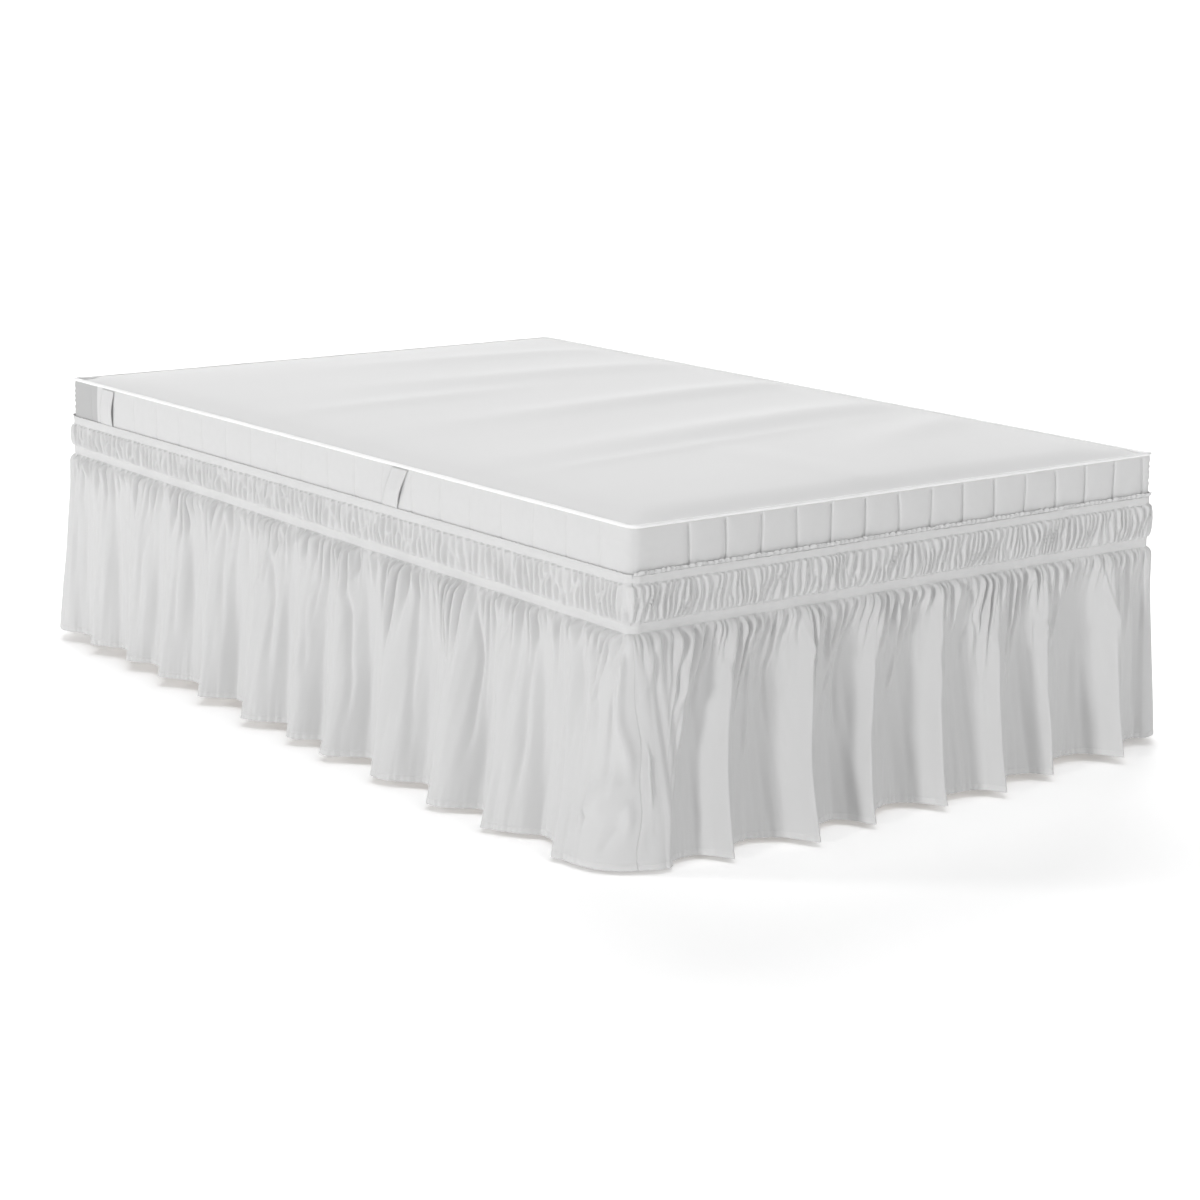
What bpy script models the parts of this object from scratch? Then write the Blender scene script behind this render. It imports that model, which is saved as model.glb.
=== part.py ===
"""Gathered bed skirt on a mattress and a plain bed frame.

Metres, +Z up. The origin is on the floor under the middle of the bed, +X runs
across the bed and +Y from its foot to its head.

The skirt is four cloth panels sewn together at the corners. Two elastic tapes
hold it to the mattress border: the cloth between them is shirred, and below
the lower tape it falls as a ruffle in deep, uneven folds.
"""
import math
import random
from collections import namedtuple

import bmesh
import bpy
from mathutils import Vector

# Bed
MATTRESS_WIDTH = 1.372
MATTRESS_LENGTH = 2.032
MATTRESS_THICKNESS = 0.240
TOP_HEIGHT = 0.610
CORNER_RADIUS = 0.018
CORNER_STEPS = 4
PIPING_RADIUS = 0.0045
FRAME_MARGIN = 0.020
FRAME_DEPTH = 0.060
LEG_SIZE = 0.050
LEG_TAPER = 0.008
LEG_INSET = 0.075
PIECE_GAP = 0.0003

# Quilted border of the mattress, heights down from its top
BORDER_DEPTH = 0.090
BORDER_CROWN = 0.0025
CHANNEL_DEPTH = 0.0035
CHANNEL_SHOULDER = 0.009
CHANNEL_HEIGHT = 0.040
CHANNELS_END = {"first": 0.131, "pitch": 0.0865, "count": 15}
CHANNELS_SIDE = {"first": 0.089, "pitch": 0.0975, "count": 20}

# Strap handles on the left border: distance of each from the foot corner at
# its top, how far its foot runs on along the side, and how far it bows out
HANDLE_WIDTH = 0.052
HANDLE_THICKNESS = 0.0018
HANDLE_TOP = 0.0050
HANDLE_BOTTOM = 0.0850
HANDLE_STEPS = 10
Handle = namedtuple("Handle", "name along slant bow")
HANDLES = (
    Handle("handle_near", 0.710, 0.034, 0.014),
    Handle("handle_far", 1.862, 0.008, 0.006),
)

# Skirt heading, heights down from the mattress top
SKIRT_TOP = 0.0880
UPPER_TAPE = (0.0880, 0.1055)
LOWER_TAPE = (0.1720, 0.1930)
CLOTH_SEAT = 0.0005
CORNER_EASE = 0.0015
HEADING_THICKNESS = 0.0015
TAPE_THICKNESS = 0.0012
SEAM_GAP = 0.0003

# Shirring: small gathers between the tapes and just under them
GATHER_PITCH = 0.0242
GATHER_HEIGHT = 0.0062
GATHER_ROWS = (0.22, 0.78)
GATHER_FALL = 0.075
GATHER_LEAN = 0.0050
GATHER_SEED = 11

# Ruffle: outward thickness of the cloth, least clearance, and its row levels
# as shares of the drop from the lower tape to the hem
RUFFLE_THICKNESS = 0.0025
RUFFLE_CLEARANCE = 0.0050
RUFFLE_ROWS = (0.25, 0.50, 0.75, 1.0)
FLANK_STEPS = 3
FLARE_START = 0.12
FLARE_LENGTH = 0.06
DEPTH_POWER = 0.75
CREST_ROUNDNESS = 0.85

# One row a fold: where its crest lies along the side at the hem, how far it
# stands out from the mattress face there and how much further along the side
# it is at the tape, then the same of the valley after it
Fold = namedtuple("Fold", "crest crest_reach crest_lean valley valley_reach valley_lean")
FOOT_FOLDS = (
    Fold(0.025, 0.080, 0.090, 0.072, 0.062, 0.096),
    Fold(0.150, 0.125, 0.072, 0.218, 0.050, 0.117),
    Fold(0.340, 0.143, 0.080, 0.428, 0.054, 0.101),
    Fold(0.495, 0.131, 0.104, 0.588, 0.048, 0.100),
    Fold(0.685, 0.127, 0.081, 0.748, 0.070, 0.079),
    Fold(0.845, 0.131, 0.070, 0.925, 0.054, 0.068),
    Fold(1.004, 0.104, 0.056, 1.100, 0.020, 0.054),
    Fold(1.215, 0.103, 0.035, 1.325, 0.014, 0.021),
)
LEFT_FOLDS = (
    Fold(0.018, 0.094, 0.040, 0.046, 0.096, 0.058),
    Fold(0.078, 0.103, 0.065, 0.185, 0.044, 0.072),
    Fold(0.288, 0.104, 0.069, 0.372, 0.040, 0.066),
    Fold(0.460, 0.111, 0.060, 0.566, 0.034, 0.054),
    Fold(0.668, 0.098, 0.055, 0.770, 0.029, 0.057),
    Fold(0.852, 0.095, 0.045, 0.930, 0.044, 0.038),
    Fold(0.988, 0.088, 0.048, 1.070, 0.034, 0.045),
    Fold(1.158, 0.086, 0.037, 1.290, 0.020, 0.028),
    Fold(1.355, 0.072, 0.033, 1.468, 0.020, 0.038),
    Fold(1.542, 0.062, 0.010, 1.642, 0.020, -0.016),
    Fold(1.702, 0.052, 0.012, 1.806, 0.012, 0.042),
    Fold(1.872, 0.046, 0.040, 1.948, 0.012, 0.030),
)
HIDDEN_VALLEY_SHARE = 0.40
HIDDEN_SPREAD = 0.12
HIDDEN_LEAN = 0.020

# Each corner seam: its reach at the hem, the height of the hem there, how far
# the lower tape rides up there, and the way the seam points, in degrees round
# from the end of the bed towards the side
Corner = namedtuple("Corner", "reach hem_height tape_rise bearing")
CORNERS = {
    (-1, -1): Corner(0.064, 0.008, 0.000, 18),
    (1, -1): Corner(0.040, 0.018, 0.000, 45),
    (-1, 1): Corner(0.044, 0.026, 0.020, 45),
    (1, 1): Corner(0.050, 0.020, 0.010, 45),
}

# Finish: base colour, roughness
WHITE_CLOTH = ((0.80, 0.80, 0.80), 0.85)
WHITE_TAPE = ((0.84, 0.84, 0.84), 0.75)
WHITE_TICKING = ((0.77, 0.77, 0.77), 0.80)
WHITE_PIPING = ((0.88, 0.88, 0.88), 0.60)
PALE_WOOD = ((0.55, 0.44, 0.32), 0.55)

HALF_WIDTH = MATTRESS_WIDTH / 2
HALF_LENGTH = MATTRESS_LENGTH / 2
MATTRESS_BOTTOM = TOP_HEIGHT - MATTRESS_THICKNESS
TAPE_SEAT = CLOTH_SEAT + HEADING_THICKNESS
HEEL = CORNER_RADIUS * math.pi / 4
ROUND_TRIP = ((-1, -1), (1, -1), (1, 1), (-1, 1), (-1, -1))

PathPoint = namedtuple("PathPoint", "s place outward")
Column = namedtuple("Column", "s reach stand lean")


def clear_scene():
    for thing in list(bpy.data.objects):
        bpy.data.objects.remove(thing, do_unlink=True)


def material(name, finish):
    colour, roughness = finish
    made = bpy.data.materials.new(name)
    made.use_nodes = True
    shader = made.node_tree.nodes["Principled BSDF"]
    shader.inputs["Base Color"].default_value = (*colour, 1.0)
    shader.inputs["Roughness"].default_value = roughness
    return made


def add_object(name, data, finish):
    """Link a mesh or curve to the scene under its part name."""
    thing = bpy.data.objects.new(name, data)
    bpy.context.collection.objects.link(thing)
    data.materials.append(finish)
    return thing


def mesh_object(name, bm, finish):
    bmesh.ops.recalc_face_normals(bm, faces=bm.faces)
    mesh = bpy.data.meshes.new(name)
    bm.to_mesh(mesh)
    bm.free()
    return add_object(name, mesh, finish)


def between(table, at):
    """Value at a place in a rising table of (place, value) pairs."""
    if at <= table[0][0]:
        return table[0][1]
    for (low, a), (high, b) in zip(table, table[1:]):
        if at <= high:
            return a + (b - a) * (at - low) / (high - low)
    return table[-1][1]


def side_path(corner_a, corner_b):
    """Mattress face of one side, from corner seam to corner seam.

    Corners are round, in CORNER_STEPS flats for each half. s is the distance
    from the sharp corner at the start, so the straight run reads as a ruler.
    Round a corner the cloth fans out to the bearing of its seam.
    """
    start = Vector((corner_a[0] * HALF_WIDTH, corner_a[1] * HALF_LENGTH))
    end = Vector((corner_b[0] * HALF_WIDTH, corner_b[1] * HALF_LENGTH))
    run = (end - start).normalized()
    length = (end - start).length
    out = Vector((run.y, -run.x))
    if out.dot(start) < 0:
        out = -out
    on_end = abs(run.x) > 0.5
    points = []
    for corner, way, origin in ((corner_a, -1, start), (corner_b, 1, end)):
        bearing = CORNERS[corner].bearing if on_end else 90 - CORNERS[corner].bearing
        centre = origin - (run * way + out) * CORNER_RADIUS
        for step in range(CORNER_STEPS + 1):
            turn = math.radians(45) * step / CORNER_STEPS
            face = out * math.cos(turn) + run * (way * math.sin(turn))
            fan = math.radians(bearing) * step / CORNER_STEPS
            outward = out * math.cos(fan) + run * (way * math.sin(fan))
            ruler = 0.0 if way < 0 else length
            s = ruler - way * (CORNER_RADIUS - CORNER_RADIUS * turn)
            points.append(PathPoint(s, centre + face * CORNER_RADIUS, outward))
    return sorted(points, key=lambda point: point.s)


def on_path(path, s, offset, height):
    """Point that stands off the mattress face by offset, at a height."""
    low, high = path[0], path[1]
    for low, high in zip(path, path[1:]):
        if s <= high.s:
            break
    share = (s - low.s) / (high.s - low.s)
    place = low.place.lerp(high.place, share)
    outward = low.outward.lerp(high.outward, share)
    spot = place + outward * offset
    return (spot.x, spot.y, height)


def tape_rise(path, corner_a, corner_b, s):
    """How far the lower tape has ridden up, even along the straight run."""
    straight = ((path[CORNER_STEPS].s, CORNERS[corner_a].tape_rise),
                (path[-1 - CORNER_STEPS].s, CORNERS[corner_b].tape_rise))
    return between(straight, s)


def corner_ease(path, s):
    """Extra clearance of the heading where it rounds a corner."""
    from_end = min(s - path[0].s, path[-1].s - s)
    return CORNER_EASE if from_end < HEEL * 0.8 else 0.0


def stitch(bm, row_a, row_b):
    """Faces between two rows of (s, vertex), which may differ in count.

    Rows of one count are split along the same diagonals on the front and the
    back of a cloth, so that its two sides keep their distance on a fold.
    """
    if len(row_a) == len(row_b):
        upper, lower = sorted((row_a, row_b), key=lambda row: -row[0][1].co.z)
        for (_, a), (_, b), (_, c), (_, d) in zip(upper, lower, upper[1:], lower[1:]):
            bm.faces.new((a, b, d))
            bm.faces.new((a, d, c))
        return
    i = j = 0
    while i < len(row_a) - 1 or j < len(row_b) - 1:
        a, b = row_a[i][1], row_b[j][1]
        next_a = row_a[i + 1][0] if i < len(row_a) - 1 else math.inf
        next_b = row_b[j + 1][0] if j < len(row_b) - 1 else math.inf
        if next_a <= next_b:
            i += 1
            bm.faces.new((a, b, row_a[i][1]))
        else:
            j += 1
            bm.faces.new((a, b, row_b[j][1]))


def gather_columns(path, rng):
    """Ridges and valleys of the shirring: (s, height share, lean) by turns."""
    length = path[-1].s - path[0].s
    count = round(length / GATHER_PITCH)
    half = length / count / 2
    columns = []
    for k in range(2 * count + 1):
        s = path[0].s + k * half
        free = min(k, 2 * count - k) > 4
        shift = rng.uniform(-0.28, 0.28) * half if free else 0.0
        lean = rng.uniform(-1, 1) * GATHER_LEAN if free else 0.0
        rise = rng.uniform(0.72, 1.18) if k % 2 else rng.uniform(0.0, 0.16)
        columns.append((s + shift, rise, lean))
    return columns


def gather_row(path, columns, share, height_at, offset_at):
    """Heading row: the gathers' columns and the corner flats between them."""
    rises = [(s + lean * (share - 0.5), rise) for s, rise, lean in columns]
    flats = [point.s for point in path]
    places = [s for s, _ in rises if min(abs(s - flat) for flat in flats) > 0.0012]
    places = sorted(places + flats)
    return [(s, on_path(path, s, offset_at(s, between(rises, s)), height_at(s))) for s in places]


def fold_columns(path, folds, start, end):
    """Columns of the ruffle: crests, valleys and the steps on their flanks."""
    turns = [(path[0].s, start.reach, 0.0)]
    for fold in folds:
        turns.append((fold.crest, fold.crest_reach, fold.crest_lean))
        turns.append((fold.valley, fold.valley_reach, fold.valley_lean))
    turns.append((path[-1].s, end.reach, 0.0))
    middles = [((a[0] + b[0]) / 2, (a[1] + b[1]) / 2) for a, b in zip(turns, turns[1:])]
    columns = []
    for (s_a, reach_a, lean_a), (s_b, reach_b, lean_b) in zip(turns, turns[1:]):
        low, high = min(reach_a, reach_b), max(reach_a, reach_b)
        for step in range(FLANK_STEPS):
            u = step / FLANK_STEPS
            s = s_a + (s_b - s_a) * u
            rise = 0.5 - 0.5 * math.cos(math.pi * (u if reach_b > reach_a else 1 - u))
            reach = low + (high - low) * rise ** CREST_ROUNDNESS
            lean = lean_a + (lean_b - lean_a) * u
            columns.append(Column(s, reach, between(middles, s), lean))
    columns.append(Column(path[-1].s, end.reach, end.reach, 0.0))
    return columns


def with_corner_flats(path, columns):
    """Add the corner flats, and drop fold columns that crowd them."""
    flats = [point.s for point in path[1:-1]]
    ends = (columns[0], columns[-1])
    kept = [c for c in columns[1:-1] if min(abs(c.s - flat) for flat in flats) > 0.004]
    reach = [(c.s, c.reach) for c in columns]
    stand = [(c.s, c.stand) for c in columns]
    kept += [Column(s, between(reach, s), between(stand, s), 0.0) for s in flats]
    return [ends[0], *sorted(kept, key=lambda c: c.s), ends[1]]


def ruffle_offset(column, drop):
    """How far the ruffle stands out at a share of the drop to the hem."""
    flare = FLARE_START * (1 - math.exp(-drop / FLARE_LENGTH)) + (1 - FLARE_START) * drop
    depth = drop ** DEPTH_POWER
    out = TAPE_SEAT + flare * column.stand + depth * (column.reach - column.stand)
    return max(out, RUFFLE_CLEARANCE)


def skirt_panel(name, corner_a, corner_b, folds, finish, seed):
    """One side of the skirt: a single cloth from its top edge to its hem."""
    rng = random.Random(seed)
    path = side_path(corner_a, corner_b)
    start, end = CORNERS[corner_a], CORNERS[corner_b]
    gathers = gather_columns(path, rng)
    columns = with_corner_flats(path, fold_columns(path, folds, start, end))
    strip_top, strip_bottom = TOP_HEIGHT - UPPER_TAPE[1], TOP_HEIGHT - LOWER_TAPE[0]

    def tape_edge(s):
        return TOP_HEIGHT - LOWER_TAPE[1] + tape_rise(path, corner_a, corner_b, s)

    def strip_height(s, share):
        foot = strip_bottom + tape_rise(path, corner_a, corner_b, s)
        return strip_top + (foot - strip_top) * share

    def drop_height(s, drop):
        hem = between(((path[0].s, start.hem_height), (path[-1].s, end.hem_height)), s)
        return tape_edge(s) + (hem - tape_edge(s)) * drop

    def flat_row(offset):
        return [(p.s, on_path(path, p.s, offset + corner_ease(path, p.s), TOP_HEIGHT - SKIRT_TOP))
                for p in path]

    def heading_row(share, height_at, rise):
        def offset(s, gather):
            return TAPE_SEAT + corner_ease(path, s) + rise * gather
        return gather_row(path, gathers, share, height_at, offset)

    def strip_row(share, rise):
        return heading_row(share, lambda s: strip_height(s, share), rise)

    def fold_row(drop, inward):
        row = []
        for column in columns:
            s = column.s + column.lean * (1 - drop)
            spot = on_path(path, s, ruffle_offset(column, drop) - inward, drop_height(s, drop))
            row.append((s, spot))
        return row

    def fall_row(drop):
        stands = [(c.s + c.lean * (1 - drop), ruffle_offset(c, drop)) for c in columns]

        def offset(s, gather):
            return between(stands, s) + GATHER_HEIGHT * 0.8 * gather
        return gather_row(path, gathers, 1.0, lambda s: drop_height(s, drop), offset)

    outer = [flat_row(TAPE_SEAT), strip_row(0.0, 0.0)]
    outer += [strip_row(share, GATHER_HEIGHT) for share in GATHER_ROWS]
    outer += [strip_row(1.0, 0.0), heading_row(1.0, tape_edge, 0.0), fall_row(GATHER_FALL)]
    outer += [fold_row(drop, 0.0) for drop in RUFFLE_ROWS]

    back = []
    for column in columns:
        s = column.s + column.lean
        seat = CLOTH_SEAT + corner_ease(path, s)
        back.append((s, on_path(path, s, seat, tape_edge(s))))
    inner = [flat_row(CLOTH_SEAT), back]
    inner += [fold_row(drop, RUFFLE_THICKNESS) for drop in (GATHER_FALL, *RUFFLE_ROWS)]

    bm = bmesh.new()
    shell = outer + inner[::-1]
    rows = [[(s, bm.verts.new(spot)) for s, spot in row] for row in shell]
    for row_a, row_b in zip(rows, rows[1:] + rows[:1]):
        stitch(bm, row_a, row_b)
    for side in (0, -1):
        front = [(-row[side][1].co.z, row[side][1]) for row in rows[:len(outer)]]
        behind = [(-row[side][1].co.z, row[side][1]) for row in rows[len(outer):]][::-1]
        stitch(bm, front, behind)
        clear_seam(rows, side)
    return mesh_object(name, bm, finish)


def clear_seam(rows, side):
    """Draw a panel's end back from the corner plane by half the seam gap."""
    inside = 1 if side == 0 else -2
    for row in rows:
        end, neighbour = row[side][1].co, row[inside][1].co
        end += (neighbour - end).normalized() * SEAM_GAP


def hidden_folds(length, count, reach, seed):
    """Plain, uneven folds for a side of the given length."""
    rng = random.Random(seed)
    pitch = length / (count + 0.5)
    rows = []
    for k in range(count):
        crest = pitch * (k + 0.5 + rng.uniform(-1, 1) * HIDDEN_SPREAD)
        valley = pitch * (k + 1.0 + rng.uniform(-1, 1) * HIDDEN_SPREAD)
        share = 1.0 if k == count // 2 else rng.uniform(1 - 2 * HIDDEN_SPREAD, 0.97)
        drawn_in = reach * HIDDEN_VALLEY_SHARE * rng.uniform(0.7, 1.2)
        lean = rng.uniform(-HIDDEN_LEAN, HIDDEN_LEAN)
        rows.append(Fold(crest, reach * share, lean, valley, drawn_in, lean))
    return rows


def ring_outline():
    """Whole mattress outline as (path, point, rise of the lower tape) in turn."""
    outline = []
    for corner_a, corner_b in zip(ROUND_TRIP, ROUND_TRIP[1:]):
        path = side_path(corner_a, corner_b)
        for point in path[:-1]:
            outline.append((path, point, tape_rise(path, corner_a, corner_b, point.s)))
    return outline


def tape_ring(name, edges, riding, finish):
    """Flat elastic tape round the skirt's heading."""
    bm = bmesh.new()
    profile = ((0.0, edges[0]), (TAPE_THICKNESS, edges[0]), (TAPE_THICKNESS, edges[1]), (0.0, edges[1]))
    loops = []
    for path, point, rise in ring_outline():
        seat = TAPE_SEAT + PIECE_GAP + corner_ease(path, point.s)
        loop = []
        for out, down in profile:
            height = TOP_HEIGHT - down + rise * riding
            loop.append(bm.verts.new(on_path(path, point.s, seat + out, height)))
        loops.append(loop)
    for loop_a, loop_b in zip(loops, loops[1:] + loops[:1]):
        for k in range(len(profile)):
            n = (k + 1) % len(profile)
            bm.faces.new((loop_a[k], loop_b[k], loop_b[n], loop_a[n]))
    return mesh_object(name, bm, finish)


def channel_places():
    """Sewn channels, grooves between their shoulders: of an end, and of a side."""
    places = []
    for table in (CHANNELS_END, CHANNELS_SIDE):
        rows = []
        for k in range(table["count"]):
            at = table["first"] + k * table["pitch"]
            rows.append((at - CHANNEL_SHOULDER, BORDER_CROWN))
            rows.append((at, BORDER_CROWN - CHANNEL_DEPTH))
            rows.append((at + CHANNEL_SHOULDER, BORDER_CROWN))
        places.append(rows)
    return places


def build_mattress(finish):
    """Mattress block: quilted border above the skirt, chamfer for the piping."""
    bm = bmesh.new()
    chamfer = (PIPING_RADIUS + PIECE_GAP) * math.sqrt(2)
    places = channel_places()

    def level(height, quilting=None, inset=0.0):
        row = []
        for index, corners in enumerate(zip(ROUND_TRIP, ROUND_TRIP[1:])):
            path = side_path(*corners)
            points = [(p.s, 0.0) for p in path[:-1]]
            if quilting is not None:
                points += [(s, rise * quilting) for s, rise in places[index % 2]]
            for s, rise in sorted(points):
                spot = on_path(path, s, rise - inset, height)
                row.append((index * 10 + s, bm.verts.new(spot)))
        row.append(((index + 1) * 10, row[0][1]))
        return row

    levels = [level(MATTRESS_BOTTOM), level(TOP_HEIGHT - BORDER_DEPTH, 0.0)]
    levels += [level(TOP_HEIGHT - CHANNEL_HEIGHT, 1.0), level(TOP_HEIGHT - chamfer, 0.0)]
    levels.append(level(TOP_HEIGHT, None, chamfer))
    for row_a, row_b in zip(levels, levels[1:]):
        stitch(bm, row_a, row_b)
    for row in (levels[0], levels[-1]):
        bm.faces.new([vert for _, vert in row[:-1]])
    return mesh_object("mattress", bm, finish)


def build_piping(finish):
    """Round piping in the seam between the mattress top and its border."""
    curve = bpy.data.curves.new("piping", "CURVE")
    curve.dimensions = "3D"
    curve.bevel_depth = PIPING_RADIUS
    curve.bevel_resolution = 2
    spline = curve.splines.new("POLY")
    outline = ring_outline()
    spline.points.add(len(outline) - 1)
    for knot, (_, point, _) in zip(spline.points, outline):
        knot.co = (point.place.x, point.place.y, TOP_HEIGHT, 1.0)
    spline.use_cyclic_u = True
    return add_object("piping", curve, finish)


def build_handle(handle, finish):
    """Webbing strap that bows out between the piping and the skirt."""
    bm = bmesh.new()
    border = ((HANDLE_TOP, 0.0), (CHANNEL_HEIGHT, BORDER_CROWN), (BORDER_DEPTH, 0.0))
    front, back = [], []
    for step in range(HANDLE_STEPS + 1):
        u = step / HANDLE_STEPS
        y = -HALF_LENGTH + handle.along + handle.slant * u
        down = HANDLE_TOP + (HANDLE_BOTTOM - HANDLE_TOP) * u
        height = TOP_HEIGHT - down
        stand = PIECE_GAP + between(border, down) + handle.bow * math.sin(math.pi * u ** 1.25) ** 1.3
        for row, out in ((back, stand), (front, stand + HANDLE_THICKNESS)):
            row.append([bm.verts.new((-HALF_WIDTH - out, y + side * HANDLE_WIDTH / 2, height))
                        for side in (-1, 1)])
    loop = front + back[::-1]
    for a, b in zip(loop, loop[1:] + loop[:1]):
        bm.faces.new((a[0], a[1], b[1], b[0]))
    for side in (0, 1):
        for k in range(HANDLE_STEPS):
            bm.faces.new((front[k][side], front[k + 1][side], back[k + 1][side], back[k][side]))
    return mesh_object(handle.name, bm, finish)


def block(name, low, high, taper, finish):
    """Box from low to high whose foot is drawn in by taper."""
    bm = bmesh.new()
    bmesh.ops.create_cube(bm, size=1.0)
    for vert in bm.verts:
        corner = [high[k] if vert.co[k] > 0 else low[k] for k in range(3)]
        if vert.co.z < 0:
            corner[0] += taper if vert.co.x < 0 else -taper
            corner[1] += taper if vert.co.y < 0 else -taper
        vert.co = corner
    return mesh_object(name, bm, finish)


def build_frame(finish):
    """Plain board under the mattress, on six tapered legs."""
    top = MATTRESS_BOTTOM - PIECE_GAP
    bottom = top - FRAME_DEPTH
    x, y = HALF_WIDTH - FRAME_MARGIN, HALF_LENGTH - FRAME_MARGIN
    block("bed_frame", (-x, -y, bottom), (x, y, top), 0.0, finish)
    half = LEG_SIZE / 2
    for row, y in enumerate((-HALF_LENGTH + LEG_INSET, 0.0, HALF_LENGTH - LEG_INSET)):
        for side, x in (("left", -HALF_WIDTH + LEG_INSET), ("right", HALF_WIDTH - LEG_INSET)):
            low = (x - half, y - half, 0.0)
            high = (x + half, y + half, bottom - PIECE_GAP)
            block(f"leg_{side}_{row + 1}", low, high, LEG_TAPER, finish)


def build_skirt(cloth, tape):
    side_reach = max(fold.crest_reach for fold in LEFT_FOLDS)
    end_reach = max(fold.crest_reach for fold in FOOT_FOLDS)
    right_folds = hidden_folds(MATTRESS_LENGTH, 12, side_reach, GATHER_SEED + 5)
    head_folds = hidden_folds(MATTRESS_WIDTH, 8, end_reach, GATHER_SEED + 6)
    skirt_panel("panel_foot", (-1, -1), (1, -1), FOOT_FOLDS, cloth, GATHER_SEED)
    skirt_panel("panel_left", (-1, -1), (-1, 1), LEFT_FOLDS, cloth, GATHER_SEED + 1)
    skirt_panel("panel_right", (1, -1), (1, 1), right_folds, cloth, GATHER_SEED + 2)
    skirt_panel("panel_head", (-1, 1), (1, 1), head_folds, cloth, GATHER_SEED + 3)
    tape_ring("tape_upper", UPPER_TAPE, 0, tape)
    tape_ring("tape_lower", LOWER_TAPE, 1, tape)


def main():
    clear_scene()
    cloth = material("skirt_cloth", WHITE_CLOTH)
    tape = material("elastic_tape", WHITE_TAPE)
    ticking = material("mattress_ticking", WHITE_TICKING)
    build_skirt(cloth, tape)
    build_mattress(ticking)
    build_piping(material("mattress_piping", WHITE_PIPING))
    for handle in HANDLES:
        build_handle(handle, ticking)
    build_frame(material("frame_wood", PALE_WOOD))


main()
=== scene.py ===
"""Looks of a gathered bed skirt on its mattress and bed frame.

Every length is in metres and every height is from the floor, in the frame of
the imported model: +X runs across the bed and +Y from its foot to its head.
Places along a side are read on a ruler that starts at its first corner.
"""

import math
from collections import namedtuple

import bmesh
import bpy
import numpy as np
from mathutils import Matrix, Vector


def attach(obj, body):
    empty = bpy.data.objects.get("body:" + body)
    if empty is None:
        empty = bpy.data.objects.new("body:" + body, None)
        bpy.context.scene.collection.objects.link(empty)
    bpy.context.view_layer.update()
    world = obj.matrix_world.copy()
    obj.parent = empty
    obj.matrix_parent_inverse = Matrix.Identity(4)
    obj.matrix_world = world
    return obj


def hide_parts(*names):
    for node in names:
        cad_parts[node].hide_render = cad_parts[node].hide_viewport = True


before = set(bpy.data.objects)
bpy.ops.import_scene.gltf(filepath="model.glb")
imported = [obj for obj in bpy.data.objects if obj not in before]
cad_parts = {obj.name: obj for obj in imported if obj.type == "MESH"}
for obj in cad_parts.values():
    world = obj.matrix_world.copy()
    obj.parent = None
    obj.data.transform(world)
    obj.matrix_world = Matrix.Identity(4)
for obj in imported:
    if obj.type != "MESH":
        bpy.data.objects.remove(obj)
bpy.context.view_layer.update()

# Bed
HALF_WIDTH, HALF_LENGTH = 0.686, 1.016
TOP_HEIGHT = 0.610
MATTRESS_BOTTOM = 0.370
CORNER_RADIUS = 0.018
CORD_RADIUS, CORD_POINTS, CORD_STEP, CORD_SWAY = 0.0036, 13, 0.0060, 0.0005
# The piping lies this much lower on the two far sides, right and head
CORD_SINK = 0.0030
BORDER_TOP, BORDER_DEPTH = 0.0030, 0.096
CHANNELS_END = [0.131 + 0.0865 * k for k in range(15)]
CHANNELS_SIDE = [0.089 + 0.0975 * k for k in range(20)]
# Depth and half width of a channel's stitch line and of its hollow
CHANNEL_HOLLOWS = ((0.0040, 0.0026), (0.0022, 0.0095))
BORDER_PUFF, BORDER_SINK = 0.0026, 0.0004
# Channels lean and bow, and those of the long sides are drawn in less
CHANNEL_LEAN, CHANNEL_BOW, LONG_SIDE_DRAW = 0.0060, 0.0010, 0.25
# Columns between channels, and how near to a channel they stop
OPEN_STEP, CHANNEL_ROOM = 0.008, 0.012
CHANNEL_COLUMNS = [way * away for away in (0.0012, 0.0022, 0.0034, 0.0050, 0.0075, 0.0105)
                   for way in (-1, 1)] + [0.0]
# Wrinkles of the border at its corners, their slant and half width, and then for
# each its distance down, reach and depth
WRINKLE_SLANT, WRINKLE_WIDTH = 0.08, 0.0022
CORNER_WRINKLES = ((0.022, 0.022, 0.0020), (0.034, 0.034, 0.0036), (0.043, 0.018, 0.0018),
                   (0.055, 0.030, 0.0026), (0.070, 0.018, 0.0014))
# The sides in turn round the bed, each from corner to corner
ROUND_TRIP = (((-1, -1), (1, -1)), ((1, -1), (1, 1)), ((1, 1), (-1, 1)), ((-1, 1), (-1, -1)))

# Skirt, heights down from the mattress top
UPPER_TAPE = (0.0880, 0.1055)
LOWER_TAPE = (0.1720, 0.1930)
TAPE_SEAT, TAPE_GAP = 0.0020, 0.0004
# How far a tape's edges round in, and how it ripples, drifts and twists
TAPE_ROUNDING, TAPE_RIPPLE, TAPE_DRIFT, TAPE_TWIST = 0.0006, 0.0007, 0.0007, 0.0013
CORNER_EASE = 0.0015
TAPE_THICKNESS = 0.0008
CLOTH_THICKNESS = 0.0007
# Least stand-off of the ruffle, and its quick flare just below the tape
CLEARANCE = 0.0042
FLARE_START, FLARE_LENGTH = 0.12, 0.06
DEPTH_POWER = 0.62
LEAN_POWER = 1.8
CREST_SOFTNESS, STAND_SOFTNESS, LEAN_SOFTNESS = 0.0040, 0.012, 0.002
# How hollow each side's folds are on their near and their far flanks
FLANKS = {"foot": (0.85, 0.72), "left": (-0.80, 0.90), "right": (0.3, 0.3), "head": (0.3, 0.3)}
HOLLOW_POWER = 3.4
CREST_LIFT = {"foot": 0.0045, "left": 0.003, "right": 0.001, "head": 0.001}
RUFFLE_SEAT = 0.0024
UNDER_TAPE = 0.0020
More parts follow.
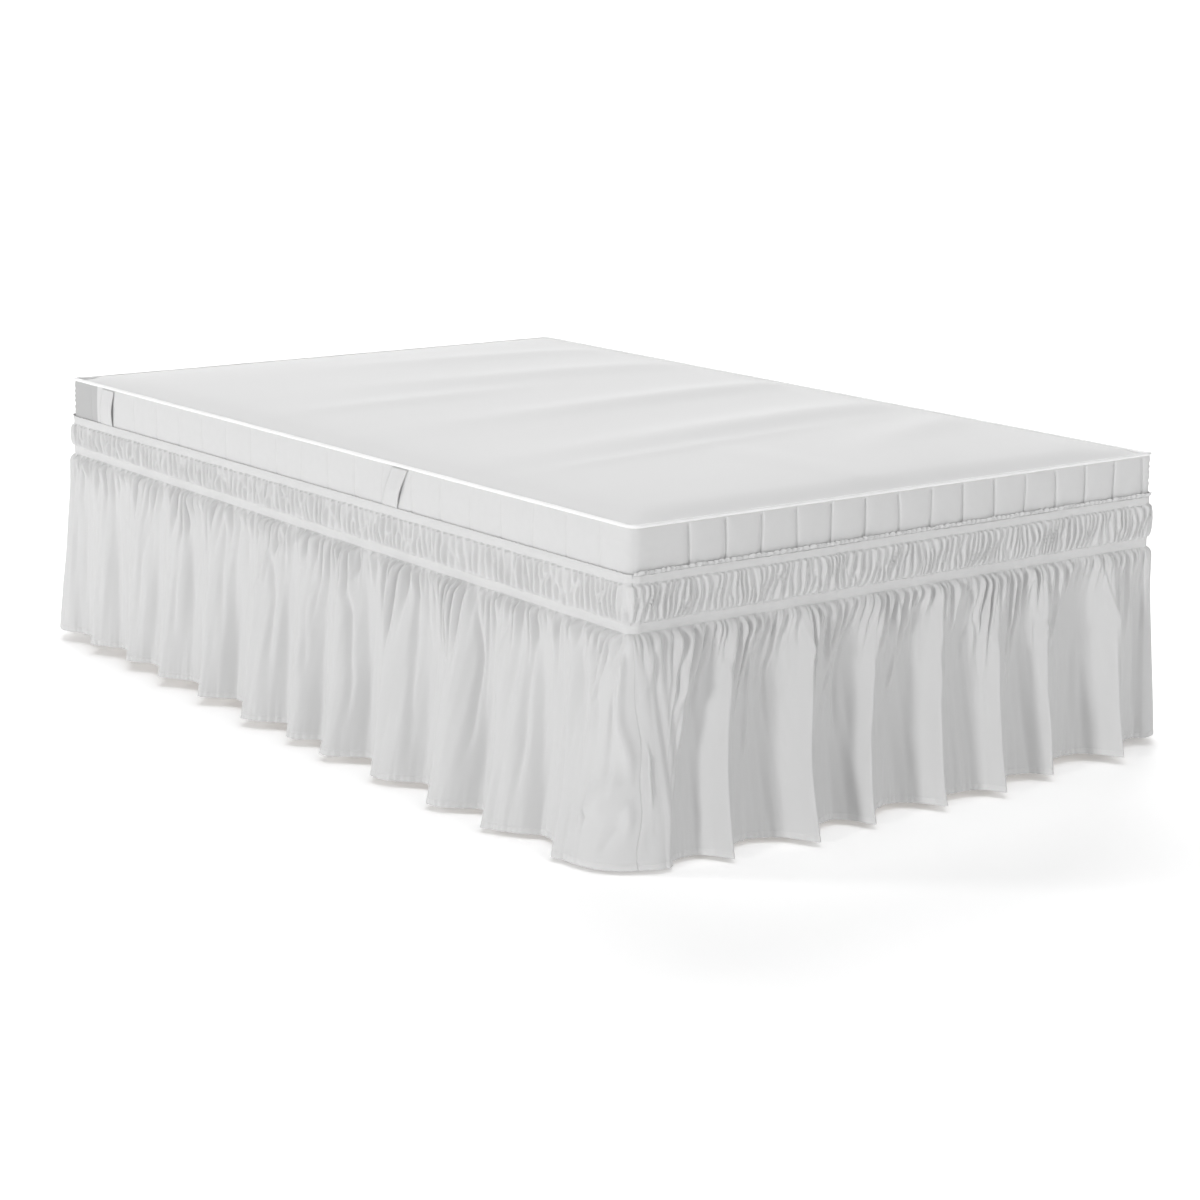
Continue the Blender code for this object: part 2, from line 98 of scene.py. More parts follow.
# Corner seams: a long side laps the other by so many degrees where its cloth
# has turned far enough to be at the seam, and all of them sway from side to side
SEAM_LAP, SEAM_TURN = 0.8, 0.78
SEAM_SWAY = 5.0
HEEL = CORNER_RADIUS * math.pi / 4
HEEL_MARGIN = 0.004
RULER_STEP = 0.0005
# How much the places at the tape and an even spread count against the hem line
TAPE_WEIGHT, EVEN_WEIGHT = 0.6, 0.3

Fold = namedtuple("Fold", "crest crest_reach crest_lean valley valley_reach valley_lean")


def folds(*rows):
    """Folds of one side, from rows in millimetres."""
    return [Fold(*(value / 1000 for value in row)) for row in rows]


FOOT_FOLDS = folds(
    (25, 94, 115, 84, 58, 104),
    (150, 125, 72, 230, 50, 117),
    (340, 143, 80, 440, 54, 101),
    (495, 131, 104, 600, 48, 100),
    (685, 127, 81, 760, 70, 79),
    (845, 131, 70, 937, 54, 68),
    (1004, 104, 56, 1112, 20, 54),
    (1215, 103, 35, 1337, 14, 21),
)
LEFT_FOLDS = folds(
    (18, 94, 40, 46, 96, 58),
    (78, 103, 65, 185, 44, 72),
    (288, 104, 69, 372, 40, 66),
    (460, 111, 60, 566, 34, 54),
    (668, 98, 55, 770, 29, 57),
    (852, 95, 45, 930, 44, 38),
    (988, 88, 48, 1070, 34, 45),
    (1158, 86, 37, 1290, 20, 28),
    (1355, 72, 33, 1468, 20, 38),
    (1542, 62, 10, 1642, 20, -16),
    (1702, 52, 12, 1806, 12, 42),
    (1872, 46, 40, 1948, 12, 30),
)
RIGHT_FOLDS = folds(
    (76, 94, -4, 162, 41, -4),
    (250, 99, -8, 316, 31, -8),
    (400, 102, 12, 474, 38, 12),
    (587, 105, 7, 641, 49, 7),
    (713, 99, -11, 811, 38, -11),
    (887, 103, -3, 966, 39, -3),
    (1062, 111, -18, 1155, 38, -18),
    (1238, 103, -11, 1313, 43, -11),
    (1368, 95, 8, 1455, 33, 8),
    (1553, 104, 17, 1607, 42, 17),
    (1706, 95, 0, 1800, 45, 0),
    (1851, 90, -5, 1937, 40, -5),
)
HEAD_FOLDS = folds(
    (82, 138, 11, 173, 48, 11),
    (250, 112, -5, 329, 41, -5),
    (413, 124, 14, 475, 49, 14),
    (582, 139, 13, 642, 42, 13),
    (741, 143, 2, 794, 60, 2),
    (905, 125, 6, 957, 65, 6),
    (1042, 137, 20, 1114, 54, 20),
    (1197, 133, -19, 1303, 66, -19),
)
Corner = namedtuple("Corner", "reach hem_height tape_rise bearing")
CORNERS = {
    (-1, -1): Corner(0.084, 0.008, 0.000, 18),
    (1, -1): Corner(0.040, 0.018, 0.000, 45),
    (-1, 1): Corner(0.044, 0.026, 0.020, 45),
    (1, 1): Corner(0.050, 0.020, 0.010, 45),
}

# Creases, in millimetres: how far each stands out of the cloth,
# below nought for a trough, its half width, and then its route in pairs, each a
# place along the side and a distance below the tape
FOOT_CREASES = (
    (4, 8, 55, 6, 27, 52, 10, 95, 7, 126),
    (-4, 5, 68, 8, 58, 95),
    (6, 2.5, 9, 200, 10, 300),
    (-8, 2.5, 17, 325, 6, 372),
    (5, 6, 99, 9, 95, 103, 79, 137),
    (5, 6, 132, 6, 110, 59, 96, 114, 79, 176, 63, 237, 43, 309, 38, 376),
    (-4, 7, 82, 14, 79, 103),
    (-8, 6, 165, 12, 157, 53, 138, 92, 127, 137, 124, 176),
    (-4, 8, 199, 26, 210, 103),
    (5, 5, 285, 6, 263, 59, 254, 126, 249, 203, 238, 264),
    (3, 4, 257, 6, 254, 53),
    (3, 4, 299, 14, 293, 42),
    (-8, 6, 335, 9, 324, 59, 302, 103, 296, 153, 299, 220),
    (-4, 8, 365, 20, 365, 120),
    (4, 5, 393, 14, 393, 53, 407, 103),
    (5, 5, 468, 9, 454, 70, 452, 126, 443, 164),
    (3, 4, 496, 9, 479, 37),
    (-8, 6, 529, 9, 518, 48, 493, 76, 479, 126, 471, 181, 465, 264),
    (-4, 9, 557, 31, 596, 148),
    (5, 5, 640, 14, 635, 92, 618, 153, 604, 203),
    (3, 4, 677, 37, 663, 76),
    (-8, 6, 693, 14, 690, 37, 685, 81, 677, 126, 677, 176),
    (-4, 8, 746, 26, 752, 131),
    (4, 5, 810, 14, 793, 42, 777, 92),
    (-7, 6, 827, 6, 843, 37, 838, 81, 804, 114, 793, 148),
    (4, 5, 860, 14, 838, 70, 835, 103, 827, 153),
    (3, 4, 868, 9, 849, 70, 852, 148),
    (-5, 10, 882, 26, 885, 148),
    (5, 5, 966, 12, 954, 42, 943, 92, 935, 126),
    (-4, 4, 988, 9, 971, 37),
    (5, 6, 1021, 14, 1016, 103, 1043, 137, 1038, 181, 1027, 348),
    (5, 6, 1099, 9, 1088, 81, 1054, 137, 1038, 176),
    (-3, 5, 1043, 14, 1052, 53),
    (-3, 5, 1071, 14, 1052, 53),
    (3, 4, 1124, 9, 1118, 70),
    (-4, 4, 1152, 12, 1149, 59),
    (4, 5, 1221, 26, 1232, 126),
    (5, 5, 1288, 14, 1238, 120, 1241, 181, 1243, 264, 1232, 348),
    (3, 4, 1318, 12, 1321, 64),
    (-4, 4, 1349, 12, 1346, 92),
    (-4, 5, 1329, 37, 1335, 370),
)
LEFT_CREASES = (
    (-5, 5, 67, 10, 45, 95, 27, 160, 22, 190),
    (4, 8, 74, 40, 59, 126),
    (7, 1.8, 11, 40, 11, 114, 10.7, 160, 7.3, 221, 6.6, 262),
    (7, 3.5, 11, 250, 17, 310, 32, 340),
    (6, 1.4, 7, 300, 7, 345),
    (-8, 1.4, 9.8, 330, 13, 390),
    (-7, 1.2, 14, 120, 13, 290),
    (-6, 12, 104, 14, 107, 48, 82, 92, 74, 126, 52, 203),
    (-7, 8, 263, 14, 252, 59, 246, 153, 232, 264, 229, 348),
    (-9, 6, 438, 12, 438, 42, 410, 126, 407, 181, 404, 264, 410, 348),
    (-7, 8, 635, 12, 624, 70, 615, 181, 602, 292, 599, 376),
    (-4, 6, 593, 12, 593, 81, 577, 159),
    (-3, 5, 52, 12, 50, 59),
    (-3, 5, 82, 12, 79, 59),
    (-4, 5, 190, 12, 196, 103),
    (-3, 5, 218, 12, 216, 53),
    (-4, 6, 313, 12, 340, 103),
    (-3, 5, 338, 12, 343, 48),
    (-4, 6, 363, 12, 379, 103),
    (-3, 5, 529, 12, 527, 70),
    (-4, 5, 560, 12, 552, 59, 574, 120),
    (-3, 5, 693, 12, 692, 53),
    (-4, 5, 727, 12, 724, 70),
    (-3, 5, 785, 12, 783, 59),
    (-3, 5, 810, 12, 808, 53),
    (-9, 7, 827, 6, 838, 48, 866, 64, 838, 126, 810, 264, 804, 348),
    (-4, 5, 893, 6, 904, 37),
    (-4, 6, 938, 12, 943, 153),
    (-4, 5, 985, 6, 977, 59),
    (-6, 7, 968, 87, 988, 137, 977, 209, 963, 292),
    (-4, 5, 1016, 26, 1004, 81),
    (-4, 6, 1082, 12, 1091, 87),
    (-8, 7, 1116, 3, 1121, 37, 1149, 64, 1121, 153, 1113, 292),
    (4, 6, 1154, 59, 1160, 120, 1199, 170),
    (-4, 6, 1260, 20, 1260, 120),
    (-3, 5, 1293, 14, 1304, 53),
    (-7, 8, 1318, 3, 1335, 59, 1338, 137, 1316, 292),
    (-7, 8, 1506, 12, 1514, 126, 1520, 181, 1509, 348),
    (-5, 12, 1453, 26, 1452, 209),
    (-7, 8, 1626, 3, 1664, 70, 1673, 153, 1681, 192, 1676, 348),
    (-4, 7, 1737, 6, 1764, 103, 1820, 159),
    (-5, 8, 1848, 3, 1853, 126, 1859, 348),
    (-5, 8, 1992, 3, 2009, 59, 2020, 292),
)

# Handles: distance from the foot corner, run of the lower end, bow
HANDLES = {"handle_near": (0.710, 0.034, 0.0042), "handle_far": (1.862, 0.008, 0.004)}
HANDLE_WIDTH, STRAP_THICKNESS = 0.052, 0.0016
STRAP_ROWS, STRAP_COLUMNS = 29, 15
# How far a strap lies off the border, bulges, cups, and narrows at its middle
STRAP_SEAT, STRAP_BULGE, STRAP_CUP, STRAP_WAIST = 0.0022, 0.0016, 0.0010, 0.04
HANDLE_DROP = (0.0050, 0.0850)


def smooth(low, high, value):
    """Soft step from 0 at low to 1 at high."""
    share = np.clip((value - low) / (high - low), 0.0, 1.0)
    return share * share * (3 - 2 * share)


def blur(values, spacing, width):
    """Values on an even ruler, softened over a width, those at the ends kept."""
    reach = int(3 * width / spacing)
    kernel = np.exp(-0.5 * (np.arange(-reach, reach + 1) * spacing / width) ** 2)
    padded = np.pad(values, reach, mode="reflect", reflect_type="odd")
    return np.convolve(padded, kernel / kernel.sum(), mode="valid")


def flank(share, hollow):
    """Rise of a fold's flank from its valley to its crest.

    Above nought the flank is hollow, so its crest is sharp. Below nought it is
    full, so it rises steeply from a sharp valley to a round crest.
    """
    even = 0.5 - 0.5 * np.cos(math.pi * share)
    bent = np.where(hollow > 0, share ** HOLLOW_POWER, 1 - (1 - share) ** 2)
    return even + np.abs(hollow) * (bent - even)


class Side:
    """One side of the bed: the mattress face, and how the cloth hangs from it."""

    def __init__(self, name, corner_a, corner_b, folds=(), creases=(), seed=0):
        self.name = name
        start = np.array((corner_a[0] * HALF_WIDTH, corner_a[1] * HALF_LENGTH))
        end = np.array((corner_b[0] * HALF_WIDTH, corner_b[1] * HALF_LENGTH))
        self.start = start
        self.length = float(np.linalg.norm(end - start))
        self.run = (end - start) / self.length
        self.out = np.array((self.run[1], -self.run[0]))
        if self.out @ start < 0:
            self.out = -self.out
        self.ends = CORNERS[corner_a], CORNERS[corner_b]
        self.on_end = abs(self.run[0]) > 0.5
        self.fans = [c.bearing if self.on_end else 90 - c.bearing for c in self.ends]
        self.first = CORNER_RADIUS - HEEL
        self.last = self.length - self.first
        self.creases = creases
        self.rng = np.random.default_rng(seed)
        if folds:
            self.lay_folds(folds)

    def place(self, s, offset, height):
        """Points that stand off the mattress face by offset, at a height."""
        s, offset, height = np.broadcast_arrays(s, offset, height)
        at_start = s < self.length / 2
        way = np.where(at_start, -1.0, 1.0)
        from_corner = np.where(at_start, s, self.length - s)
        turn = np.clip(1 - from_corner / CORNER_RADIUS, 0, math.pi / 4)
        sway = SEAM_SWAY * (np.sin(height / 0.055 + 1.0) + 0.6 * np.sin(height / 0.021))
        sway_way = 1 if self.on_end else -1
        lap = 0.0 if self.on_end else SEAM_LAP * (turn > SEAM_TURN)
        bearing = np.where(at_start, *self.fans) + sway * sway_way + lap
        fan = np.radians(bearing) * turn / (math.pi / 4)
        sharp = np.where(at_start, 0.0, self.length)
        rounded = sharp - way * CORNER_RADIUS * (1 - np.sin(turn))
        along = np.where(turn > 0, rounded, s) + way * np.sin(fan) * offset
        out = CORNER_RADIUS * (np.cos(turn) - 1) + np.cos(fan) * offset
        flat = self.start + along[..., None] * self.run + out[..., None] * self.out
        return np.concatenate((flat, height[..., None]), axis=-1)

    def from_end(self, s):
        return np.minimum(s - self.first, self.last - s)

    def ease(self, s):
        """Extra clearance of the heading where it rounds a corner."""
        return CORNER_EASE * (1 - smooth(HEEL * 0.8, HEEL * 1.6, self.from_end(s)))

    def tape_rise(self, s):
        straight = (CORNER_RADIUS, self.length - CORNER_RADIUS)
        return np.interp(s, straight, [end.tape_rise for end in self.ends])

    def tape_edge(self, s):
        return TOP_HEIGHT - LOWER_TAPE[1] + self.tape_rise(s)

    def hem_height(self, s):
        return np.interp(s, (self.first, self.last), [end.hem_height for end in self.ends])

    def lay_folds(self, folds):
        """Reach, stand and lean of the ruffle on an even ruler along the hem."""
        start, end = self.ends
        turns = [(self.first, start.reach, 0.0)]
        for fold in folds:
            turns.append((fold.crest, fold.crest_reach, fold.crest_lean))
            turns.append((fold.valley, fold.valley_reach, fold.valley_lean))
        turns.append((self.last, end.reach, 0.0))
        at, reach, lean = np.array(turns).T
        steps = round((self.last - self.first) / RULER_STEP)
        self.ruler = np.linspace(self.first, self.last, steps + 1)
        k = np.clip(np.searchsorted(at, self.ruler, side="right") - 1, 0, len(at) - 2)
        share = (self.ruler - at[k]) / (at[k + 1] - at[k])
        rising = reach[k + 1] > reach[k]
        low, high = np.minimum(reach[k], reach[k + 1]), np.maximum(reach[k], reach[k + 1])
        near, far = (np.where((k == 0) | (k == len(at) - 2), 0.0, hollow)
                     for hollow in FLANKS[self.name])
        rise = np.where(rising, flank(share, near), flank(1 - share, far))
        lifted = high + CREST_LIFT[self.name] * ((k > 0) & (k < len(at) - 2))
        sharp = low + (lifted - low) * rise
        self.reach = blur(sharp, RULER_STEP, CREST_SOFTNESS)
        middles = np.concatenate((at[:1], (at[:-1] + at[1:]) / 2, at[-1:]))
        stands = np.concatenate((reach[:1], (reach[:-1] + reach[1:]) / 2, reach[-1:]))
        self.stand = blur(np.interp(self.ruler, middles, stands), RULER_STEP, STAND_SOFTNESS)
        heels = [self.first, CORNER_RADIUS, self.length - CORNER_RADIUS, self.last]
        inner = (at > heels[1] + HEEL_MARGIN) & (at < heels[2] - HEEL_MARGIN)
        places = np.concatenate((heels[:2], at[inner], heels[2:]))
        leans = np.concatenate(((0, 0), lean[inner], (0, 0)))
        self.lean = blur(np.interp(self.ruler, places, leans), RULER_STEP, LEAN_SOFTNESS)

    def hem_steps(self):
        """Steps along the hem line, round its folds."""
        hem = self.place(self.ruler, self.reach, 0.0)
        return np.linalg.norm(np.diff(hem, axis=0), axis=1)

    def hem_length(self):
        """Length of the hem line, which the side's cloth is taken to be cut to."""
        return round(float(self.hem_steps().sum()), 3)

    def columns(self, count):
        """Places along the hem, evenly spread over the cloth there and at the tape."""
        steps = self.hem_steps()
        steps += TAPE_WEIGHT * np.abs(np.diff(self.ruler + self.lean)) + EVEN_WEIGHT * RULER_STEP
        walked = np.concatenate(((0,), np.cumsum(steps)))
        return np.interp(np.linspace(0, walked[-1], count), walked, self.ruler)


class Gathers:
    """Uneven gathers along a tape, each with its own pitch, height and length.

    They start and end on a ridge of middling height, so that they carry on
    round the bed's corners.
    """

    def __init__(self, side, pitch, height, length=(1.0, 1.0)):
        rng = side.rng
        knots = [0.0]
        while knots[-1] < side.last - side.first:
            knots.append(knots[-1] + rng.uniform(*pitch))
        count = len(knots)
        self.knots = side.first + np.array(knots) * (side.last - side.first) / knots[-1]
        self.heights = height[0] + (height[1] - height[0]) * rng.uniform(0, 1, count) ** 1.5
        self.lengths = length[0] + (length[1] - length[0]) * rng.uniform(0, 1, count) ** 2
        self.heights[[0, -1]] = 0.6 * height[0] + 0.4 * height[1]
        self.lengths[[0, -1]] = 0.8 * length[0] + 0.2 * length[1]

    def ridge(self, s):
        """Round ridges between narrow valleys, from -1 to 1."""
        phase = np.interp(s, self.knots, math.pi * (0.5 + np.arange(len(self.knots))))
        return 2.3 * np.sqrt(np.sin(phase) ** 2 + 0.02) - 1.33

    def height(self, s):
        return np.interp(s, self.knots, self.heights)

    def length(self, s):
        return np.interp(s, self.knots, self.lengths)


# Slow waves set in between these distances below the tape. How many there are,
# then ranges of their height, width and length
SLACK_ONSET = (0.02, 0.15)
SLACK_WAVES = (
    (9, (0.0005, 0.0013), (0.045, 0.12), (0.30, 0.90)),
    (8, (0.0001, 0.0005), (0.016, 0.040), (0.25, 0.80)),
)


def slack(side, s, down, count, height, wide, tall):
    """Slow unevenness of hanging cloth."""
    rng = side.rng
    total = np.zeros(np.broadcast(s, down).shape)
    for _ in range(count):
        turns = s / rng.uniform(*wide) + rng.choice((-1, 1)) * down / rng.uniform(*tall)
        total += rng.uniform(*height) * np.sin(2 * math.pi * (turns + rng.uniform()))
    return total


# How softly a crease starts, the part of it that fades, and how far past its end
CREASE_START, CREASE_TAIL, CREASE_PAST = 0.012, 0.3, 0.25


def crease(s, down, stand_out, width, route):
    """Soft ridge, or trough below nought, along a route; its sizes are in mm."""
    stand_out = stand_out * (RIDGE_STRENGTH if stand_out > 0 else TROUGH_STRENGTH)
    places, depths = np.array(route).reshape(-1, 2).T / 1000
    away = (s - np.interp(down, depths, places)) / (width / 1000)
    start = smooth(depths[0] - CREASE_START, depths[0] + CREASE_START, down)
    tail = CREASE_TAIL * (depths[-1] - depths[0])
    end = 1 - smooth(depths[-1] - tail, depths[-1] + CREASE_PAST * tail, down)
    return stand_out / 1000 * np.exp(-away ** 2) * start * end


def to_mesh(name, bm):
    mesh = bpy.data.meshes.new(name)
    bm.to_mesh(mesh)
    bm.free()
    return mesh


def put(name, data):
    """New object in the scene."""
    thing = bpy.data.objects.new(name, data)
    bpy.context.collection.objects.link(thing)
    return thing


def grid_mesh(name, columns, rows, points, spread, ring):
    """Cloth sheet as a grid of quads, its UV map in metres along the cloth.

    points holds a place for every row and column, and spread the same for the
    place on the flat cloth. A ring is welded where its ends meet.
    """
    bm = bmesh.new()
    bmesh.ops.create_grid(bm, x_segments=columns - 1, y_segments=rows - 1, size=1.0)
    mesh = to_mesh(name, bm)
    flat = np.zeros(len(mesh.vertices) * 3)
    mesh.vertices.foreach_get("co", flat)
    flat = flat.reshape(-1, 3)
    i = np.rint((flat[:, 0] + 1) / 2 * (columns - 1)).astype(int)
    j = np.rint((flat[:, 1] + 1) / 2 * (rows - 1)).astype(int)
    mesh.vertices.foreach_set("co", points[j, i].ravel())
    corners = np.zeros(len(mesh.loops), int)
    mesh.loops.foreach_get("vertex_index", corners)
    layer = mesh.uv_layers.new(name="UVMap")
    layer.data.foreach_set("uv", spread[j, i][corners].ravel())
    if ring:
        bm = bmesh.new()
        bm.from_mesh(mesh)
        bmesh.ops.remove_doubles(bm, verts=bm.verts, dist=1e-5)
        bm.to_mesh(mesh)
        bm.free()
    mesh.shade_smooth()
    return put(name, mesh)


def face_outward(thing):
    """Turn a cloth's faces so that they look away from the middle of the bed."""
    bm = bmesh.new()
    bm.from_mesh(thing.data)
    outward = sum(f.normal.dot(Vector((*f.calc_center_median().xy, 0))) for f in bm.faces)
    if outward < 0:
        bmesh.ops.reverse_faces(bm, faces=bm.faces)
    bm.to_mesh(thing.data)
    bm.free()


def sew(name, points, finish, thickness=None, offset=0.0, spread=None, ring=False):
    """Cloth of one piece from its grid of places.

    Its thickness goes both ways at offset 0, and only inward at offset -1.
    """
    rows, columns = points.shape[:2]
    spread = spread_out(points) if spread is None else spread
    made = grid_mesh(name, columns, rows, points, spread, ring)
    face_outward(made)
    if thickness:
        solid = made.modifiers.new("thickness", "SOLIDIFY")
        solid.thickness, solid.offset = thickness, offset
        solid.use_even_offset = False
    made.data.materials.append(finish)
    return made


def spread_out(points):
    """Flat cloth coordinates of a grid of places: distance along and down it."""
    along = np.linalg.norm(np.diff(points[len(points) // 2], axis=0), axis=-1)
    down = np.linalg.norm(np.diff(points, axis=0), axis=-1).mean(axis=1)
    u = np.concatenate(((0,), np.cumsum(along)))
    v = np.concatenate(((0,), np.cumsum(down)))
    return np.stack(np.broadcast_arrays(u[None, :], v[:, None]), axis=-1)


# Ruffle rows: the three about the lower tape's edge as distances below it, and
# the hem's as (height above the hem line, how far it is tucked in behind)
RUFFLE_DROP = 0.405
TAPE_EDGE_ROWS = (-0.0040, -0.0016, 0.0007)
BEHIND_TAPE, AT_TAPE = 0.0002, 0.0012
HEM_TOP, HEM_SEAM, HEM_SEAM_DEPTH, HEM_SEAM_WIDTH = 0.0185, 0.0114, 0.0006, 0.0008
ROW_CROWDING = 1.45
# Gathers start below the tape within GATHER_ONSET, stand GATHER_LIFT further out
# than evenly, and wander from side to side; all settle down towards a corner seam
GATHER_ONSET, GATHER_LIFT = 0.0060, 0.35
WANDER, WANDER_DOWN, WANDER_ALONG = 0.0035, 0.045, 0.31
SETTLING, CREASE_SETTLING = 0.020, 0.003
# Puckers of the hem's sewing: pitch and height, and how far up they reach
PUCKERS, PUCKER_LENGTH = ((0.007, 0.014), (0.0006, 0.0022)), 0.016
HEM_ROWS = ((0.0150, 0), (0.0125, 0), (0.0114, 0), (0.0102, 0), (0.0065, 0), (0.0025, 0),
            (0.0005, 0), (-0.0006, 0.0010), (0.0008, 0.0022), (0.0045, 0.0024), (0.0112, 0.0022))


def ruffle_rows(rows):
    """Share of the drop at each row, and how far the row is tucked in."""
    even = np.linspace(0, 1, rows - len(TAPE_EDGE_ROWS))
    main = even ** ROW_CROWDING * (1 - HEM_TOP / RUFFLE_DROP)
    main = np.sort(np.append(main, [at / RUFFLE_DROP for at in TAPE_EDGE_ROWS]))
    hem = [1 - up / RUFFLE_DROP for up, _ in HEM_ROWS]
    tuck = [0.0] * rows + [back for _, back in HEM_ROWS]
    return np.concatenate((main, hem))[:, None], np.array(tuck)[:, None]


def ruffle(side, columns, rows, finish):
    """Ruffle of one side, from under the lower tape to its turned hem."""
    fall, tuck = ruffle_rows(rows)
    q = side.columns(columns)[None, :]
    lean = np.interp(q, side.ruler, side.lean)
    stand = np.interp(q, side.ruler, side.stand)
    reach = np.interp(q, side.ruler, side.reach)
    s = q + lean * (1 - np.minimum(fall, 1)) ** LEAN_POWER
    edge, foot = side.tape_edge(s), side.hem_height(s)
    height = edge + (foot - edge) * fall
    hidden = fall < TAPE_EDGE_ROWS[1] / RUFFLE_DROP
    tape_rows = np.select((hidden, fall < 0), (BEHIND_TAPE, AT_TAPE), 0.0)
    fall = np.maximum(fall, 0)
    down = np.maximum(edge - height, 0)

    flare = FLARE_START * (1 - np.exp(-fall / FLARE_LENGTH)) + (1 - FLARE_START) * fall
    offset = TAPE_SEAT + RUFFLE_SEAT + flare * stand + fall ** DEPTH_POWER * (reach - stand)
    near_end = side.from_end(s)
    free = smooth(0.0, SETTLING, near_end)

    tape_place = q + lean - GATHER_SLANT[side.name] * down * free
    depth = CORNER_GATHER_DEPTH + (GATHER_DEPTH[side.name] - CORNER_GATHER_DEPTH) * free
    for pitch, size, length in GATHER_SETS:
        gathers = Gathers(side, pitch, size, length)
        wander = WANDER * np.sin(down / WANDER_DOWN + 2 * math.pi * tape_place / WANDER_ALONG)
        rise = gathers.height(tape_place) * (1 - np.exp(-down / GATHER_ONSET)) * depth
        fade = np.exp(-(down / gathers.length(tape_place)) ** 2)
        ridge = gathers.ridge(tape_place + wander * free) + GATHER_LIFT
        offset = offset + rise * fade * ridge
    unevenness = sum(slack(side, s, down, *waves) for waves in SLACK_WAVES)
    offset = offset + unevenness * smooth(*SLACK_ONSET, down) * free
    apart = smooth(0.0, CREASE_SETTLING, near_end)
    for stand_out, width, *route in side.creases:
        offset = offset + crease(s, down, stand_out, width, route) * apart
    pucker = Gathers(side, *PUCKERS)
    above = (1 - fall) * RUFFLE_DROP
    puckered = pucker.height(q) * pucker.ridge(q) * np.exp(-np.abs(above) / PUCKER_LENGTH)
    offset = offset + puckered * free
    offset = offset - HEM_SEAM_DEPTH * np.exp(-((above - HEM_SEAM) / HEM_SEAM_WIDTH) ** 2)
    offset = np.where(tape_rows > 0, TAPE_SEAT + tape_rows, np.maximum(offset, CLEARANCE))

    points = side.place(s, offset - tuck, height)
    spread = spread_out(points)
    spread[..., 1] = np.where(tuck > 0, -tuck, above)
    return sew(f"ruffle_{side.name}", points, finish, CLOTH_THICKNESS, spread=spread)


# Heading rows, heights down from the mattress top: frill, behind the upper
# tape, the shirred strip, then behind the lower tape
FRILL = (0.0805, 0.0818, 0.0832, 0.0848, 0.0864, 0.0880)
STRIP = (UPPER_TAPE[1], LOWER_TAPE[0])
STRIP_SHARES = (0.0, 0.012, 0.035, 0.08, 0.15, 0.24, 0.34, 0.45, 0.55, 0.66, 0.76, 0.85, 0.92,
                0.965, 0.988, 1.0)
BEHIND_UPPER = 0.0968
BEHIND_LOWER = (0.1825, 0.1925)
STRIP_PUFF, PUFF_POWER, STRIP_SETTLING = 0.0022, 0.28, 0.012
# Pitch and height of the strip's fine gathers and of the frill's scallops
FINE_GATHERS = ((0.006, 0.012), (0.0003, 0.0012))
SCALLOPS = ((0.009, 0.018), (0.0010, 0.0026))
FRILL_BASE, SCALLOP_STAND, NOTCH = 0.0006, 1.7, 0.0027


def heading(side, columns, finish, slant):
    """Frill and shirred strip of one side, sewn down under the two tapes."""
    strip = [STRIP[0] + (STRIP[1] - STRIP[0]) * share for share in STRIP_SHARES]
    frill = [UPPER_TAPE[0] - (UPPER_TAPE[0] - at) * FRILL_LENGTH[side.name] for at in FRILL]
    below = np.array([*frill, BEHIND_UPPER, *strip, *BEHIND_LOWER])[:, None]
    share = (below - STRIP[0]) / (STRIP[1] - STRIP[0])
    s = np.linspace(side.first, side.last, columns)[None, :]
    rise = side.tape_rise(s) * np.clip(share, 0, 1)
    free = smooth(0.0, STRIP_SETTLING, side.from_end(s))

    inside = np.clip(share, 0, 1)
    puff = np.sin(math.pi * inside) ** PUFF_POWER * (share > 0) * (share < 1)
    upper = Gathers(side, *STRIP_GATHERS[side.name])
    lower = Gathers(side, *STRIP_GATHERS[side.name])
    fine = Gathers(side, *FINE_GATHERS)
    turn = 2 * math.pi * side.rng.uniform(0, 1, 5)
    lean = slant * (1 + np.sin(s / 0.041 + turn[0]) + 0.8 * np.sin(s / 0.017 + turn[1]))
    bend = slant * 0.3 * np.sin(2 * math.pi * inside + s / 0.023 + turn[2])
    at = s + (lean * (inside - 0.5) + bend) * free
    mix = smooth(0.25, 0.75, inside + 0.22 * np.sin(s / 0.013 + turn[3]))
    gather = (1 - mix) * upper.ridge(at) * upper.height(at)
    gather = gather + mix * lower.ridge(at) * lower.height(at)
    gather = gather + fine.ridge(at) * fine.height(at)
    seat = TAPE_SEAT + UNDER_TAPE * (np.abs(share - 0.5) < 0.51)
    offset = seat + side.ease(s) + puff * (STRIP_PUFF + gather)

    scallop = Gathers(side, *SCALLOPS)
    standing = np.clip((UPPER_TAPE[0] - below) / (UPPER_TAPE[0] - frill[0]), 0, 1)
    loop = 1.0 + scallop.ridge(s)
    stand = standing ** 0.7 * (FRILL_BASE + SCALLOP_STAND * loop * scallop.height(s))
    offset = offset + stand * FRILL_STAND[side.name]
    offset = offset + FRILL_ROLL[side.name] * (share < -0.2) * (standing < 0.95)
    notch = scallop.ridge(s + 0.0025) * (0.6 + 0.4 * np.sin(s / 0.011 + turn[4]))
    below = below - standing * NOTCH * FRILL_LENGTH[side.name] * notch * free
    least = np.where((share > 0) & (share < 1), TAPE_SEAT + UNDER_TAPE, TAPE_SEAT * 0.6)
    offset = np.maximum(offset, least + side.ease(s))

    points = side.place(s, offset, TOP_HEIGHT - below + rise)
    return sew(f"heading_{side.name}", points, finish, CLOTH_THICKNESS)


def even_places(step):
    """Rule that spreads a side's places evenly, a step apart."""
    def places(side):
        count = int((side.last - side.first) / step)
        return np.linspace(side.first, side.last, count, endpoint=False)
    return places


